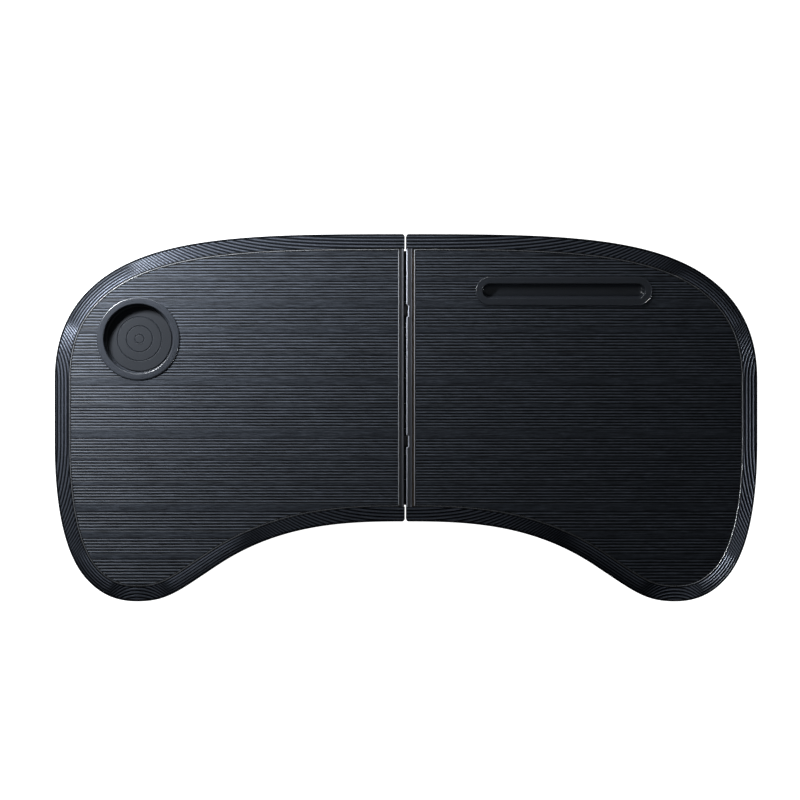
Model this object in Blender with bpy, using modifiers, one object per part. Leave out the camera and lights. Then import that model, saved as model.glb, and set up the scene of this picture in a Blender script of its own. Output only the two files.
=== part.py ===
"""Two-leaf folding lap tray table with a cup recess, a pen slot and folding legs.

Metres, +Z up, +X to the user's right, +Y away from the user. The origin is on
the ground under the middle of the outline. The table lies open on its rubber
bumpers with both leg frames stowed underneath. The right leaf folds under the
left one about the hinge, each leg frame swings out about its pivot, and each
leg catch turns about its screw.
"""

import math

import bmesh
import bpy
import numpy as np
from mathutils import Matrix, Vector

# Overall outline
WIDTH = 0.700
DEPTH = 0.366
ARCH_DEPTH = 0.0796

# The fold between the leaves
FOLD_X = -0.001
GAP = 0.0018
CORNER_RADIUS = 0.003

# Layers, from the ground up
BUMPER_HEIGHT = 0.0035
LEAF_THICKNESS = 0.027
PANEL_THICKNESS = 0.002
CORE_THICKNESS = 0.006

# Clearances, and how far a cutter runs past what it cuts
SEAT_GAP = 0.0003
RUN_GAP = 0.0005
OVERRUN = 0.002
WELD_DISTANCE = SEAT_GAP / 10

# Bevelled rim with its skirt, channel and ledge
RIM_WIDTH = 0.0146
RIM_DROP = 0.0042
RIM_SINK = 0.0003
RIM_EDGE = 0.0008
ROOF_THICKNESS = 0.0025
SKIRT_WALL = 0.003
INNER_WALL = 0.0025
LEDGE_REACH = 0.004
LEDGE_THICKNESS = 0.002
PANEL_GROOVE = 0.0009

# Aluminium spine along each side of the fold
STRIP_WIDTHS = {"left": 0.0038, "right": 0.0062}
STRIP_GROOVE = 0.0015
SPINE_WEB = 0.002
FLANGE_MARGIN = 0.002
FLANGE_THICKNESS = 0.002

# Nylon lugs that set the gap
LUG_LENGTH = 0.010
LUG_REACH = 0.0014
LUG_HEIGHT = 0.005
LUG_SINK = 0.0006
LUG_PITCH = 0.1295
LUG_OFFSET = 0.00165
LUG_STEM_RADIUS = 0.0015

# Continuous hinge under the fold
FOLD_CLEARANCE = 0.0002
HINGE_END_MARGIN = 0.00075
KNUCKLE_RADIUS = 0.00275
KNUCKLE_COUNT = 10
KNUCKLE_CLEARANCE = 0.00035
HINGE_PIN_RADIUS = 0.0013
HINGE_PLATE_WIDTH = 0.021
HINGE_PLATE_THICKNESS = 0.0012
HINGE_SCREW_MARGIN = 0.007
HINGE_SCREW_FROM_END = 0.025

# Countersunk wood screws
SCREW_RADIUS = 0.0015
SCREW_HEAD_RADIUS = 0.0028
SCREW_HEAD_DEPTH = 0.0012
SCREW_POINT = 0.0015
HINGE_SCREW_LENGTH = 0.013
BOARD_COVER = 0.0013
HEAD_CLEARANCE = 0.0002
PILOT_EXTRA = 0.0005
SCREW_HOLE_RADIUS = SCREW_RADIUS + SEAT_GAP

# Folding leg frames
LEG_RADIUS = 0.006
LEG_BEND = 0.025
PIVOT_FROM_SIDE = 0.072
BAR_FROM_FOLD = 0.050
UPRIGHT_FROM_BACK = 0.056
UPRIGHT_FROM_FRONT = 0.095

# Rubber sleeves that the deployed table stands on
SLEEVE_WALL = 0.0017
SLEEVE_LENGTH = 0.030
SLEEVE_INSET = 0.047

# Leg brackets and pivot pins
CHEEK_THICKNESS = 0.0025
CHEEK_MARGIN = 0.0017
BRACKET_BASE = 0.002
BRACKET_LENGTH = 0.034
STOP_WEB = 0.0025
SPLAY_DEGREES = 8.0
BRACKET_SCREW_FIRST = 0.015
BRACKET_SCREW_PITCH = 0.012
BRACKET_SCREW_COUNT = 2
PIVOT_PIN_RADIUS = 0.002
PIN_HEAD_RADIUS = 0.0035
PIN_HEAD_THICKNESS = 0.0012

# Turning catches for the stowed legs
CATCH_FROM_BAR = 0.016
CATCH_Y = 0.020
CATCH_THICKNESS = 0.0022
CATCH_GAP = 0.0004
CATCH_HUB_RADIUS = 0.006
CATCH_ARM = 0.020
CATCH_TIP_RADIUS = 0.004
CATCH_SINK = 0.0012
CATCH_HEAD_RADIUS = 0.0032
CATCH_HEAD_THICKNESS = 0.0010
CATCH_POST_RADIUS = 0.0045

# Rubber bumpers in bosses of the rims
BUMPER_RADIUS = 0.007
BUMPER_INSET = 0.0085
BUMPER_STEM_RADIUS = 0.0022
BUMPER_STEM_LENGTH = 0.006
BOSS_RADIUS = 0.0055
BOSS_HOLE_DEPTH = 0.008

# Cup recess
CUP_FROM_SIDE = 0.0839
CUP_FROM_BACK = 0.1044
CUP_BORE_RADIUS = 0.0345
CUP_FLANGE_RADIUS = 0.0412
CUP_FLANGE_THICKNESS = 0.0015
CUP_WALL = 0.0018
CUP_DEPTH = 0.0138
CUP_FILLET = 0.002
CUP_EDGE = 0.0006
MAT_THICKNESS = 0.0012

# Pen slot
SLOT_END_FROM_SIDE = 0.1125
SLOT_FROM_BACK = 0.0570
SLOT_LENGTH = 0.1614
SLOT_WIDTH = 0.0145
SLOT_FLANGE_MARGIN = 0.0070
SLOT_FLANGE_THICKNESS = 0.0013
SLOT_WALL = 0.0018
SLOT_ROUND = 0.005

# Outline of one leaf, from the back middle round to the arch: shares of half
# the width and of half the depth, the heading in degrees, the handles before
# and after as shares of half the width, and the steps that follow.
BACK_SHARES = (0.0, 1.0, 0.0, 0.0, 0.450, 12)
SHOULDER_SHARES = (0.912, 0.677, -47.0, 0.228, 0.131, 6)
UPPER_SIDE_SHARES = (1.0, 0.182, -90.0, 0.050, 0.060, 1)
LOWER_SIDE_SHARES = (1.0, -0.132, -90.0, 0.060, 0.176, 6)
LOBE_CORNER_SHARES = (0.910, -0.877, -132.0, 0.096, 0.060, 4)
LOBE_FOOT_SHARES = (0.765, -1.0, -180.0, 0.060, 0.086, 5)
FLANK_SHARES = (0.535, -0.802, -213.5, 0.135, 0.217, 8)
ARCH_SHARES = (0.0, None, -180.0, 0.166, 0.0, 0)
BUMPER_STATIONS = (14, 24)

ROUND_STEPS = 12
FINE_STEPS = 32
BEND_STEPS = 5
SLOT_STEPS = 8
TUBE_STEPS = 4
SCOOP_STEPS = 3
SMOOTH_DEGREES = 35.0
SIGNS = {"left": -1, "right": 1}

# Places in plan that follow from the outline
PIVOT_X = WIDTH / 2 - PIVOT_FROM_SIDE
CATCH_X = BAR_FROM_FOLD - CATCH_FROM_BAR
UPRIGHT_BACK_Y = DEPTH / 2 - UPRIGHT_FROM_BACK
UPRIGHT_FRONT_Y = UPRIGHT_FROM_FRONT - DEPTH / 2
CUP_X = CUP_FROM_SIDE - WIDTH / 2
CUP_Y = DEPTH / 2 - CUP_FROM_BACK
SLOT_X = WIDTH / 2 - SLOT_END_FROM_SIDE - SLOT_LENGTH / 2
SLOT_Y = DEPTH / 2 - SLOT_FROM_BACK
ARCH_Y = ARCH_DEPTH - DEPTH / 2
SPINE_BACK_Y = DEPTH / 2 - RIM_WIDTH - SEAT_GAP
SPINE_FRONT_Y = ARCH_Y + RIM_WIDTH + SEAT_GAP
HINGE_Y = (SPINE_BACK_Y + SPINE_FRONT_Y) / 2
HINGE_LENGTH = SPINE_BACK_Y - SPINE_FRONT_Y - 2 * HINGE_END_MARGIN

# Sizes that follow from the pieces they fit
SPINE_FLANGE = HINGE_PLATE_WIDTH + FLANGE_MARGIN
HINGE_SCREW_X = HINGE_PLATE_WIDTH - HINGE_SCREW_MARGIN
HINGE_SCREW_PITCH = HINGE_LENGTH / 2 - HINGE_SCREW_FROM_END
EYE_RADIUS = LEG_RADIUS + SEAT_GAP
EYE_HALF_WIDTH = EYE_RADIUS
EYE_HOLE_RADIUS = PIVOT_PIN_RADIUS + SEAT_GAP
SLEEVE_BORE_RADIUS = LEG_RADIUS + SEAT_GAP
CHEEK_RADIUS = EYE_RADIUS + CHEEK_MARGIN
BRACKET_HALF_WIDTH = EYE_HALF_WIDTH + SEAT_GAP + CHEEK_THICKNESS
BRACKET_SCREW_LENGTH = BRACKET_BASE + SEAT_GAP + CORE_THICKNESS - BOARD_COVER
CATCH_SCREW_BITE = CORE_THICKNESS - BOARD_COVER
CUP_BODY_RADIUS = CUP_BORE_RADIUS + CUP_WALL

# Heights that follow from the layers
SKIRT_Z = BUMPER_HEIGHT
TOP_Z = BUMPER_HEIGHT + LEAF_THICKNESS
PANEL_Z = TOP_Z - PANEL_THICKNESS
CORE_TOP_Z = PANEL_Z - SEAT_GAP
CORE_Z = CORE_TOP_Z - CORE_THICKNESS
LEDGE_TOP_Z = CORE_Z - SEAT_GAP
LEDGE_Z = LEDGE_TOP_Z - LEDGE_THICKNESS
FOLD_Z = SKIRT_Z - FOLD_CLEARANCE
HINGE_PLATE_TOP_Z = FOLD_Z + KNUCKLE_RADIUS
HINGE_PLATE_Z = HINGE_PLATE_TOP_Z - HINGE_PLATE_THICKNESS
SPINE_Z = HINGE_PLATE_TOP_Z + SEAT_GAP
BATTEN_Z = SPINE_Z + FLANGE_THICKNESS + SEAT_GAP
PIVOT_Z = LEDGE_Z - RUN_GAP - EYE_RADIUS
CATCH_TOP_Z = PIVOT_Z - LEG_RADIUS - CATCH_GAP
CATCH_Z = CATCH_TOP_Z - CATCH_THICKNESS
INSERT_Z = TOP_Z + SEAT_GAP
SLOT_FLOOR_Z = CORE_Z + SLOT_WALL


def fresh_scene():
    """Empties the scene and makes one collection for the table and one for helpers."""
    for old in list(bpy.data.objects):
        bpy.data.objects.remove(old, do_unlink=True)
    found = []
    for name in ("tray_table", "helpers"):
        group = bpy.data.collections.new(name)
        bpy.context.scene.collection.children.link(group)
        found.append(group)
    return found


PARTS, HELPERS = fresh_scene()


def material(name, colour, roughness, metallic=0.0):
    made = bpy.data.materials.new(name)
    made.use_nodes = True
    shader = made.node_tree.nodes["Principled BSDF"]
    shader.inputs["Base Color"].default_value = (*colour, 1.0)
    shader.inputs["Roughness"].default_value = roughness
    shader.inputs["Metallic"].default_value = metallic
    return made


PANEL_FINISH = material("charcoal_woodgrain", (0.035, 0.038, 0.044), 0.5)
RIM_FINISH = material("ribbed_black_plastic", (0.020, 0.022, 0.026), 0.4)
CORE_FINISH = material("core_board", (0.16, 0.12, 0.08), 0.8)
SPINE_FINISH = material("dark_anodised_aluminium", (0.10, 0.10, 0.12), 0.35, 0.9)
INSERT_FINISH = material("satin_black_plastic", (0.045, 0.05, 0.06), 0.45)
STEEL_FINISH = material("steel", (0.45, 0.45, 0.46), 0.35, 1.0)
LEG_FINISH = material("leg_aluminium", (0.12, 0.12, 0.13), 0.35, 0.9)
RUBBER_FINISH = material("black_rubber", (0.012, 0.012, 0.013), 0.85)
NYLON_FINISH = material("black_nylon", (0.02, 0.02, 0.022), 0.55)


def register(obj, finish=None, group=PARTS):
    """Links an object, and gives a visible one its finish and smooth round faces."""
    group.objects.link(obj)
    if group is HELPERS:
        obj.hide_render = True
        obj.display_type = "WIRE"
        return obj
    obj.data.materials.clear()
    obj.data.materials.append(finish)
    obj.data.shade_smooth()
    obj.data.set_sharp_from_angle(angle=math.radians(SMOOTH_DEGREES))
    return obj


def flat_solid(name, loops, low, high, finish=None, group=HELPERS):
    """A flat outline with any holes, from z = low to z = high."""
    curve = bpy.data.curves.new(name, "CURVE")
    curve.dimensions = "2D"
    curve.fill_mode = "BOTH"
    curve.extrude = (high - low) / 2
    for loop in loops:
        spline = curve.splines.new("POLY")
        spline.points.add(len(loop) - 1)
        for point, (x, y) in zip(spline.points, loop):
            point.co = (x, y, 0.0, 1.0)
        spline.use_cyclic_u = True
    mesh = mesh_of_curve(curve)
    mesh.transform(Matrix.Translation((0, 0, (high + low) / 2)))
    return register(bpy.data.objects.new(name, mesh), finish, group)


def mesh_of_curve(curve):
    """The curve as a mesh with its caps welded, and the curve removed."""
    holder = bpy.data.objects.new(curve.name, curve)
    bpy.context.scene.collection.objects.link(holder)
    bpy.context.view_layer.update()
    seen = holder.evaluated_get(bpy.context.evaluated_depsgraph_get())
    mesh = bpy.data.meshes.new_from_object(seen)
    bpy.data.objects.remove(holder, do_unlink=True)
    weld(mesh)
    return mesh


def weld(mesh):
    edited = bmesh.new()
    edited.from_mesh(mesh)
    bmesh.ops.remove_doubles(edited, verts=edited.verts, dist=WELD_DISTANCE)
    bmesh.ops.recalc_face_normals(edited, faces=edited.faces)
    edited.to_mesh(mesh)
    edited.free()


def across_solid(name, loops, low, high, finish=None, group=HELPERS):
    """An outline in X and Z, from y = low to y = high."""
    obj = flat_solid(name, loops, -high, -low, finish, group)
    obj.data.transform(Matrix.Rotation(math.pi / 2, 4, "X"))
    return obj


def box(name, low, high, finish=None, group=HELPERS):
    mesh = bpy.data.meshes.new(name)
    edited = bmesh.new()
    middle = [(a + b) / 2 for a, b in zip(low, high)]
    size = [abs(b - a) for a, b in zip(low, high)]
    place = Matrix.Translation(middle) @ Matrix.Diagonal((*size, 1.0))
    bmesh.ops.create_cube(edited, size=1.0, matrix=place)
    edited.to_mesh(mesh)
    edited.free()
    return register(bpy.data.objects.new(name, mesh), finish, group)


def rod(name, start, end, radius, end_radius=None, steps=ROUND_STEPS):
    """A cylinder or cone between two points, as a helper."""
    start, end = Vector(start), Vector(end)
    turn = Vector((0, 0, 1)).rotation_difference(end - start).to_matrix().to_4x4()
    place = Matrix.Translation((start + end) / 2) @ turn
    mesh = bpy.data.meshes.new(name)
    edited = bmesh.new()
    bmesh.ops.create_cone(
        edited,
        cap_ends=True,
        segments=steps,
        radius1=radius,
        radius2=radius if end_radius is None else end_radius,
        depth=(end - start).length,
        matrix=place,
    )
    edited.to_mesh(mesh)
    edited.free()
    return register(bpy.data.objects.new(name, mesh), None, HELPERS)


def combine(obj, other, operation):
    change = obj.modifiers.new(operation.lower(), "BOOLEAN")
    change.operation = operation
    change.solver = "EXACT"
    change.object = other


def settle(obj):
    """Keeps the result of the modifiers as the mesh and removes the helpers they used."""
    bpy.context.view_layer.update()
    used = [change.object for change in obj.modifiers if change.type == "BOOLEAN"]
    seen = obj.evaluated_get(bpy.context.evaluated_depsgraph_get())
    mesh = bpy.data.meshes.new_from_object(seen)
    obj.modifiers.clear()
    obj.data = mesh
    for helper in used:
        bpy.data.objects.remove(helper, do_unlink=True)
    return obj


def finished(obj, finish):
    """Moves a settled helper shape to the table's own collection."""
    settle(obj)
    HELPERS.objects.unlink(obj)
    obj.hide_render = False
    obj.display_type = "TEXTURED"
    return register(obj, finish)


def turned(name, profile, finish, steps=ROUND_STEPS, closed=False):
    """A profile of (radius, height), outer side from the top down, turned about Z."""
    mesh = bpy.data.meshes.new(name)
    edges = [(i, i + 1) for i in range(len(profile) - 1)]
    if closed:
        edges.append((len(profile) - 1, 0))
    mesh.from_pydata([(r, 0, z) for r, z in profile], edges, [])
    obj = bpy.data.objects.new(name, mesh)
    HELPERS.objects.link(obj)
    screw = obj.modifiers.new("turn", "SCREW")
    screw.axis = "Z"
    screw.steps = steps
    screw.render_steps = steps
    screw.use_merge_vertices = True
    screw.merge_threshold = WELD_DISTANCE
    return finished(obj, finish)


def copy_of(obj, name, location=(0, 0, 0), turn=(0, 0, 0)):
    """Another object with the same mesh."""
    other = bpy.data.objects.new(name, obj.data)
    PARTS.objects.link(other)
    other.location = location
    other.rotation_euler = turn
    return other


def axis_empty(name, location):
    empty = bpy.data.objects.new(name, None)
    empty.location = location
    HELPERS.objects.link(empty)
    return empty


def carry(parent, *objects):
    """Parents objects without moving them."""
    place = Matrix.Translation(parent.location)
    if parent.parent is not None:
        place = parent.parent.matrix_basis @ parent.matrix_parent_inverse @ place
    for obj in objects:
        obj.parent = parent
        obj.matrix_parent_inverse = place.inverted()


def outline_stations():
    """Points on one leaf's edge and their outward normals, for X to the right."""
    half_width, half_depth = WIDTH / 2, DEPTH / 2
    nodes = []
    for across, along, heading, before, after, steps in (
        BACK_SHARES,
        SHOULDER_SHARES,
        UPPER_SIDE_SHARES,
        LOWER_SIDE_SHARES,
        LOBE_CORNER_SHARES,
        LOBE_FOOT_SHARES,
        FLANK_SHARES,
        ARCH_SHARES,
    ):
        y = ARCH_Y if along is None else along * half_depth
        angle = math.radians(heading)
        way = np.array([math.cos(angle), math.sin(angle)])
        place = np.array([across * half_width, y])
        nodes.append(
            (place, place - before * half_width * way, place + after * half_width * way, steps)
        )
    points, normals = [], []
    for (start, _, leave, steps), (end, arrive, _, _) in zip(nodes[:-1], nodes[1:]):
        for step in range(steps + (end is nodes[-1][0])):
            t = step / steps
            u = 1 - t
            points.append(
                u**3 * start + 3 * u * u * t * leave + 3 * u * t * t * arrive + t**3 * end
            )
            slope = (
                u * u * (leave - start) + 2 * u * t * (arrive - leave) + t * t * (end - arrive)
            )
            slope = slope / np.linalg.norm(slope)
            normals.append(np.array([-slope[1], slope[0]]))
    return np.array(points), np.array(normals)


def edge_points(side, inset, end_x):
    """The leaf's edge moved inward, its two ends brought to x = end_x."""
    points, normals = outline_stations()
    moved = points - inset * normals
    moved[:, 0] *= SIGNS[side]
    moved[0, 0] = end_x
    moved[-1, 0] = end_x
    return moved


def gap_edge(side, back_from_edge=0.0):
    """X of the leaf's edge at the fold, or of a line that far from it."""
    return FOLD_X + SIGNS[side] * (GAP / 2 + back_from_edge)


def fold_side(side, distance):
    """X at that distance from the fold axis."""
    return FOLD_X + SIGNS[side] * distance


def rim_profile():
    """The rim's section: distance in from the edge, and height."""
    top = TOP_Z - RIM_SINK
    edge_top = top - RIM_DROP
    roof = edge_top - ROOF_THICKNESS
    inner = RIM_WIDTH - INNER_WALL
    return [
        (0.0, SKIRT_Z),
        (0.0, edge_top - RIM_EDGE),
        (RIM_EDGE, edge_top),
        (RIM_WIDTH, top),
        (RIM_WIDTH, LEDGE_TOP_Z),
        (RIM_WIDTH + LEDGE_REACH, LEDGE_TOP_Z),
        (RIM_WIDTH + LEDGE_REACH, LEDGE_Z),
        (inner, LEDGE_Z),
        (inner, roof),
        (SKIRT_WALL, roof),
        (SKIRT_WALL, SKIRT_Z),
    ]


def swept(name, path, profile, side):
    """A section carried along a path in the XY plane, as a mesh object."""
    section = bpy.data.curves.new(name + "_section", "CURVE")
    section.dimensions = "2D"
    spline = section.splines.new("POLY")
    spline.points.add(len(profile) - 1)
    for point, (inward, height) in zip(spline.points, profile):
        point.co = (inward * SIGNS[side], height, 0.0, 1.0)
    spline.use_cyclic_u = True
    shape = bpy.data.objects.new(name + "_section", section)
    HELPERS.objects.link(shape)
    curve = bpy.data.curves.new(name, "CURVE")
    curve.dimensions = "2D"
    curve.fill_mode = "NONE"
    curve.bevel_mode = "OBJECT"
    curve.bevel_object = shape
    curve.use_fill_caps = True
    line = curve.splines.new("POLY")
    line.points.add(len(path) - 1)
    for point, (x, y) in zip(line.points, path):
        point.co = (x, y, 0.0, 1.0)
    mesh = mesh_of_curve(curve)
    bpy.data.objects.remove(shape, do_unlink=True)
    obj = bpy.data.objects.new(name, mesh)
    return register(obj, None, HELPERS)


def corner_cutter(side, y, outward):
    """What a rounded corner leaves out at the fold's end, outward being +1 or -1 in Y."""
    x = gap_edge(side)
    sign = SIGNS[side]
    centre = (x + sign * CORNER_RADIUS, y - outward * CORNER_RADIUS)
    loop = []
    for step in range(BEND_STEPS + 1):
        angle = math.pi / 2 * step / BEND_STEPS
        loop.append(
            (
                centre[0] - sign * CORNER_RADIUS * math.cos(angle),
                centre[1] + outward * CORNER_RADIUS * math.sin(angle),
            )
        )
    loop.append((loop[-1][0], y + outward * OVERRUN))
    loop.append((x - sign * OVERRUN, y + outward * OVERRUN))
    loop.append((x - sign * OVERRUN, loop[0][1]))
    return flat_solid("corner_cutter", [loop], SKIRT_Z - OVERRUN, TOP_Z + OVERRUN)


def bumper_places(side):
    points = edge_points(side, BUMPER_INSET, gap_edge(side))
    return [tuple(points[station]) for station in BUMPER_STATIONS]


def make_rim(side):
    rim = swept(side + "_rim", edge_points(side, 0.0, gap_edge(side)), rim_profile(), side)
    for y, outward in ((DEPTH / 2, 1), (ARCH_Y, -1)):
        combine(rim, corner_cutter(side, y, outward), "DIFFERENCE")
    ends = sorted((gap_edge(side, -OVERRUN), gap_edge(side, SPINE_FLANGE + RUN_GAP)))
    relief = box(
        "ledge_relief",
        (ends[0], ARCH_Y + RIM_WIDTH, LEDGE_Z - OVERRUN),
        (ends[1], DEPTH / 2 - RIM_WIDTH, CORE_Z),
    )
    combine(rim, relief, "DIFFERENCE")
    half = BRACKET_HALF_WIDTH + RUN_GAP
    reach = sorted(
        (
            fold_side(side, PIVOT_X + stop_reach() + STOP_WEB + RUN_GAP),
            fold_side(side, PIVOT_X - BRACKET_LENGTH - RUN_GAP),
        )
    )
    notch = box(
        "bracket_notch",
        (reach[0], UPRIGHT_BACK_Y - half, LEDGE_Z - OVERRUN),
        (reach[1], UPRIGHT_BACK_Y + half, CORE_Z),
    )
    combine(rim, notch, "DIFFERENCE")
    roof = TOP_Z - RIM_SINK - RIM_DROP - ROOF_THICKNESS / 2
    for x, y in bumper_places(side):
        combine(rim, rod("boss", (x, y, SKIRT_Z), (x, y, roof), BOSS_RADIUS), "UNION")
    for x, y in bumper_places(side):
        hole = rod(
            "boss_hole",
            (x, y, SKIRT_Z - OVERRUN),
            (x, y, SKIRT_Z + BOSS_HOLE_DEPTH),
            BUMPER_STEM_RADIUS + SEAT_GAP,
        )
        combine(rim, hole, "DIFFERENCE")
    return finished(rim, RIM_FINISH)


def stadium(x, y, length, width, steps=SLOT_STEPS):
    """A long outline with round ends, along X."""
    radius = width / 2
    loop = []
    for centre, start in (
        (x + length / 2 - radius, -math.pi / 2),
        (x - length / 2 + radius, math.pi / 2),
    ):
        for step in range(steps + 1):
            angle = start + math.pi * step / steps
            loop.append((centre + radius * math.cos(angle), y + radius * math.sin(angle)))
    return loop


def circle(x, y, radius, steps=FINE_STEPS):
    return [
        (
            x + radius * math.cos(2 * math.pi * step / steps),
            y + radius * math.sin(2 * math.pi * step / steps),
        )
        for step in range(steps)
    ]


def recess_hole(side):
    """The hole that a leaf's board and panel have for the cup or the pen slot."""
    if side == "left":
        radius = (CUP_BODY_RADIUS + SEAT_GAP) / math.cos(math.pi / FINE_STEPS)
        return circle(CUP_X, CUP_Y, radius)
    margin = SLOT_WALL + SEAT_GAP
    return stadium(SLOT_X, SLOT_Y, SLOT_LENGTH + 2 * margin, SLOT_WIDTH + 2 * margin)


def bracket_places(side):
    x = fold_side(side, PIVOT_X)
    return {"back": (x, UPRIGHT_BACK_Y), "front": (x, UPRIGHT_FRONT_Y)}


def bracket_screw_places(side):
    found = []
    for end, (x, y) in bracket_places(side).items():
        for count in range(BRACKET_SCREW_COUNT):
            inward = BRACKET_SCREW_FIRST + count * BRACKET_SCREW_PITCH
            found.append((end, count, x - SIGNS[side] * inward, y))
    return found


def make_panel(side):
    end_x = gap_edge(side, STRIP_WIDTHS[side] + STRIP_GROOVE)
    loops = [edge_points(side, RIM_WIDTH + PANEL_GROOVE, end_x), recess_hole(side)]
    return flat_solid(side + "_deck_panel", loops, PANEL_Z, TOP_Z, PANEL_FINISH, PARTS)


def make_core(side):
    end_x = gap_edge(side, SPINE_WEB + SEAT_GAP)
    loops = [edge_points(side, RIM_WIDTH + SEAT_GAP, end_x), recess_hole(side)]
    core = flat_solid(side + "_core_board", loops, CORE_Z, CORE_TOP_Z)
    top = LEDGE_Z + BRACKET_SCREW_LENGTH + PILOT_EXTRA
    pilots = [(x, y, top) for _, _, x, y in bracket_screw_places(side)]
    pilots.append((fold_side(side, CATCH_X), CATCH_Y, CORE_Z + CATCH_SCREW_BITE + PILOT_EXTRA))
    for x, y, end in pilots:
        hole = rod("pilot", (x, y, CORE_Z - OVERRUN), (x, y, end), SCREW_HOLE_RADIUS)
        combine(core, hole, "DIFFERENCE")
    return finished(core, CORE_FINISH)


def lug_places():
    middle = HINGE_Y + LUG_OFFSET
    return {"back": middle + LUG_PITCH / 2, "front": middle - LUG_PITCH / 2}


def lug_heights():
    top = TOP_Z - LUG_SINK
    return top - LUG_HEIGHT, top


def hinge_screw_places(side):
    x = fold_side(side, HINGE_SCREW_X)
    return [(x, HINGE_Y + count * HINGE_SCREW_PITCH) for count in (-1, 0, 1)]


def make_spine(side):
    strip = STRIP_WIDTHS[side]
    section = [
        (0.0, SPINE_Z),
        (SPINE_FLANGE, SPINE_Z),
        (SPINE_FLANGE, SPINE_Z + FLANGE_THICKNESS),
        (SPINE_WEB, SPINE_Z + FLANGE_THICKNESS),
        (SPINE_WEB, CORE_TOP_Z + SEAT_GAP),
        (strip, CORE_TOP_Z + SEAT_GAP),
        (strip, TOP_Z),
        (0.0, TOP_Z),
    ]
    loop = [(gap_edge(side, away), z) for away, z in section]
    spine = across_solid(side + "_spine", [loop], SPINE_FRONT_Y, SPINE_BACK_Y)
    low, high = lug_heights()
    for y in lug_places().values():
        if side == "left":
            middle = (low + high) / 2
            start = (gap_edge(side, -OVERRUN), y, middle)
            end = (gap_edge(side, SPINE_WEB + OVERRUN), y, middle)
            hole = rod("lug_hole", start, end, LUG_STEM_RADIUS + SEAT_GAP)
        else:
            half = LUG_LENGTH / 2 + SEAT_GAP
            hole = box(
                "lug_notch",
                (gap_edge(side, -OVERRUN), y - half, low - SEAT_GAP),
                (gap_edge("left") + GAP + LUG_REACH + SEAT_GAP, y + half, TOP_Z + OVERRUN),
            )
        combine(spine, hole, "DIFFERENCE")
    for x, y in hinge_screw_places(side):
        start = (x, y, SPINE_Z - OVERRUN)
        end = (x, y, SPINE_Z + FLANGE_THICKNESS + OVERRUN)
        combine(spine, rod("screw_hole", start, end, SCREW_HOLE_RADIUS), "DIFFERENCE")
    return finished(spine, SPINE_FINISH)


def make_batten(side):
    ends = sorted((gap_edge(side, SPINE_WEB + SEAT_GAP), gap_edge(side, SPINE_FLANGE)))
    batten = box(
        side + "_batten",
        (ends[0], SPINE_FRONT_Y, BATTEN_Z),
        (ends[1], SPINE_BACK_Y, CORE_Z - SEAT_GAP),
    )
    for x, y in hinge_screw_places(side):
        end = HINGE_PLATE_Z + HINGE_SCREW_LENGTH + PILOT_EXTRA
        hole = rod("pilot", (x, y, BATTEN_Z - OVERRUN), (x, y, end), SCREW_HOLE_RADIUS)
        combine(batten, hole, "DIFFERENCE")
    return finished(batten, CORE_FINISH)


def make_lug(end, y):
    """A nylon pad on the left spine with a stem through its web."""
    low, high = lug_heights()
    face = gap_edge("left")
    start = face + SEAT_GAP
    tip = face + GAP + LUG_REACH
    lug = box(
        end + "_gap_lug",
        (start, y - LUG_LENGTH / 2, low),
        (tip, y + LUG_LENGTH / 2, high),
    )
    middle = (low + high) / 2
    stem = rod(
        "stem",
        ((start + tip) / 2, y, middle),
        (gap_edge("left", SPINE_WEB), y, middle),
        LUG_STEM_RADIUS,
    )
    combine(lug, stem, "UNION")
    return finished(lug, NYLON_FINISH)


def knuckle_loops(side):
    """A rolled knuckle's section with the tab that joins it to its plate."""
    sign = SIGNS[side]
    depth = HINGE_PLATE_Z - FOLD_Z
    last = math.asin(depth / KNUCKLE_RADIUS)
    turn = 1.5 * math.pi - last
    tab = KNUCKLE_RADIUS + 2 * KNUCKLE_CLEARANCE
    outer = [(FOLD_X + sign * tab, HINGE_PLATE_TOP_Z)]
    for step in range(ROUND_STEPS + 1):
        angle = math.pi / 2 + turn * step / ROUND_STEPS
        outer.append(
            (
                FOLD_X + sign * KNUCKLE_RADIUS * math.cos(angle),
                FOLD_Z + KNUCKLE_RADIUS * math.sin(angle),
            )
        )
    outer.append((FOLD_X + sign * tab, HINGE_PLATE_Z))
    bore = circle(FOLD_X, FOLD_Z, HINGE_PIN_RADIUS + SEAT_GAP, ROUND_STEPS)
    return [outer, bore]


def cut_screw_seat(obj, x, y, low, high):
    """Cuts the hole and the countersink of a screw whose head is flush with z = low."""
    head = SCREW_HEAD_RADIUS + HEAD_CLEARANCE
    flare = (head - SCREW_HOLE_RADIUS) * OVERRUN / SCREW_HEAD_DEPTH
    sink = rod(
        "countersink",
        (x, y, low - OVERRUN),
        (x, y, low + SCREW_HEAD_DEPTH),
        head + flare,
        SCREW_HOLE_RADIUS,
    )
    hole = rod("hole", (x, y, low - OVERRUN), (x, y, high + OVERRUN), SCREW_HOLE_RADIUS)
    combine(obj, sink, "DIFFERENCE")
    combine(obj, hole, "DIFFERENCE")


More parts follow.
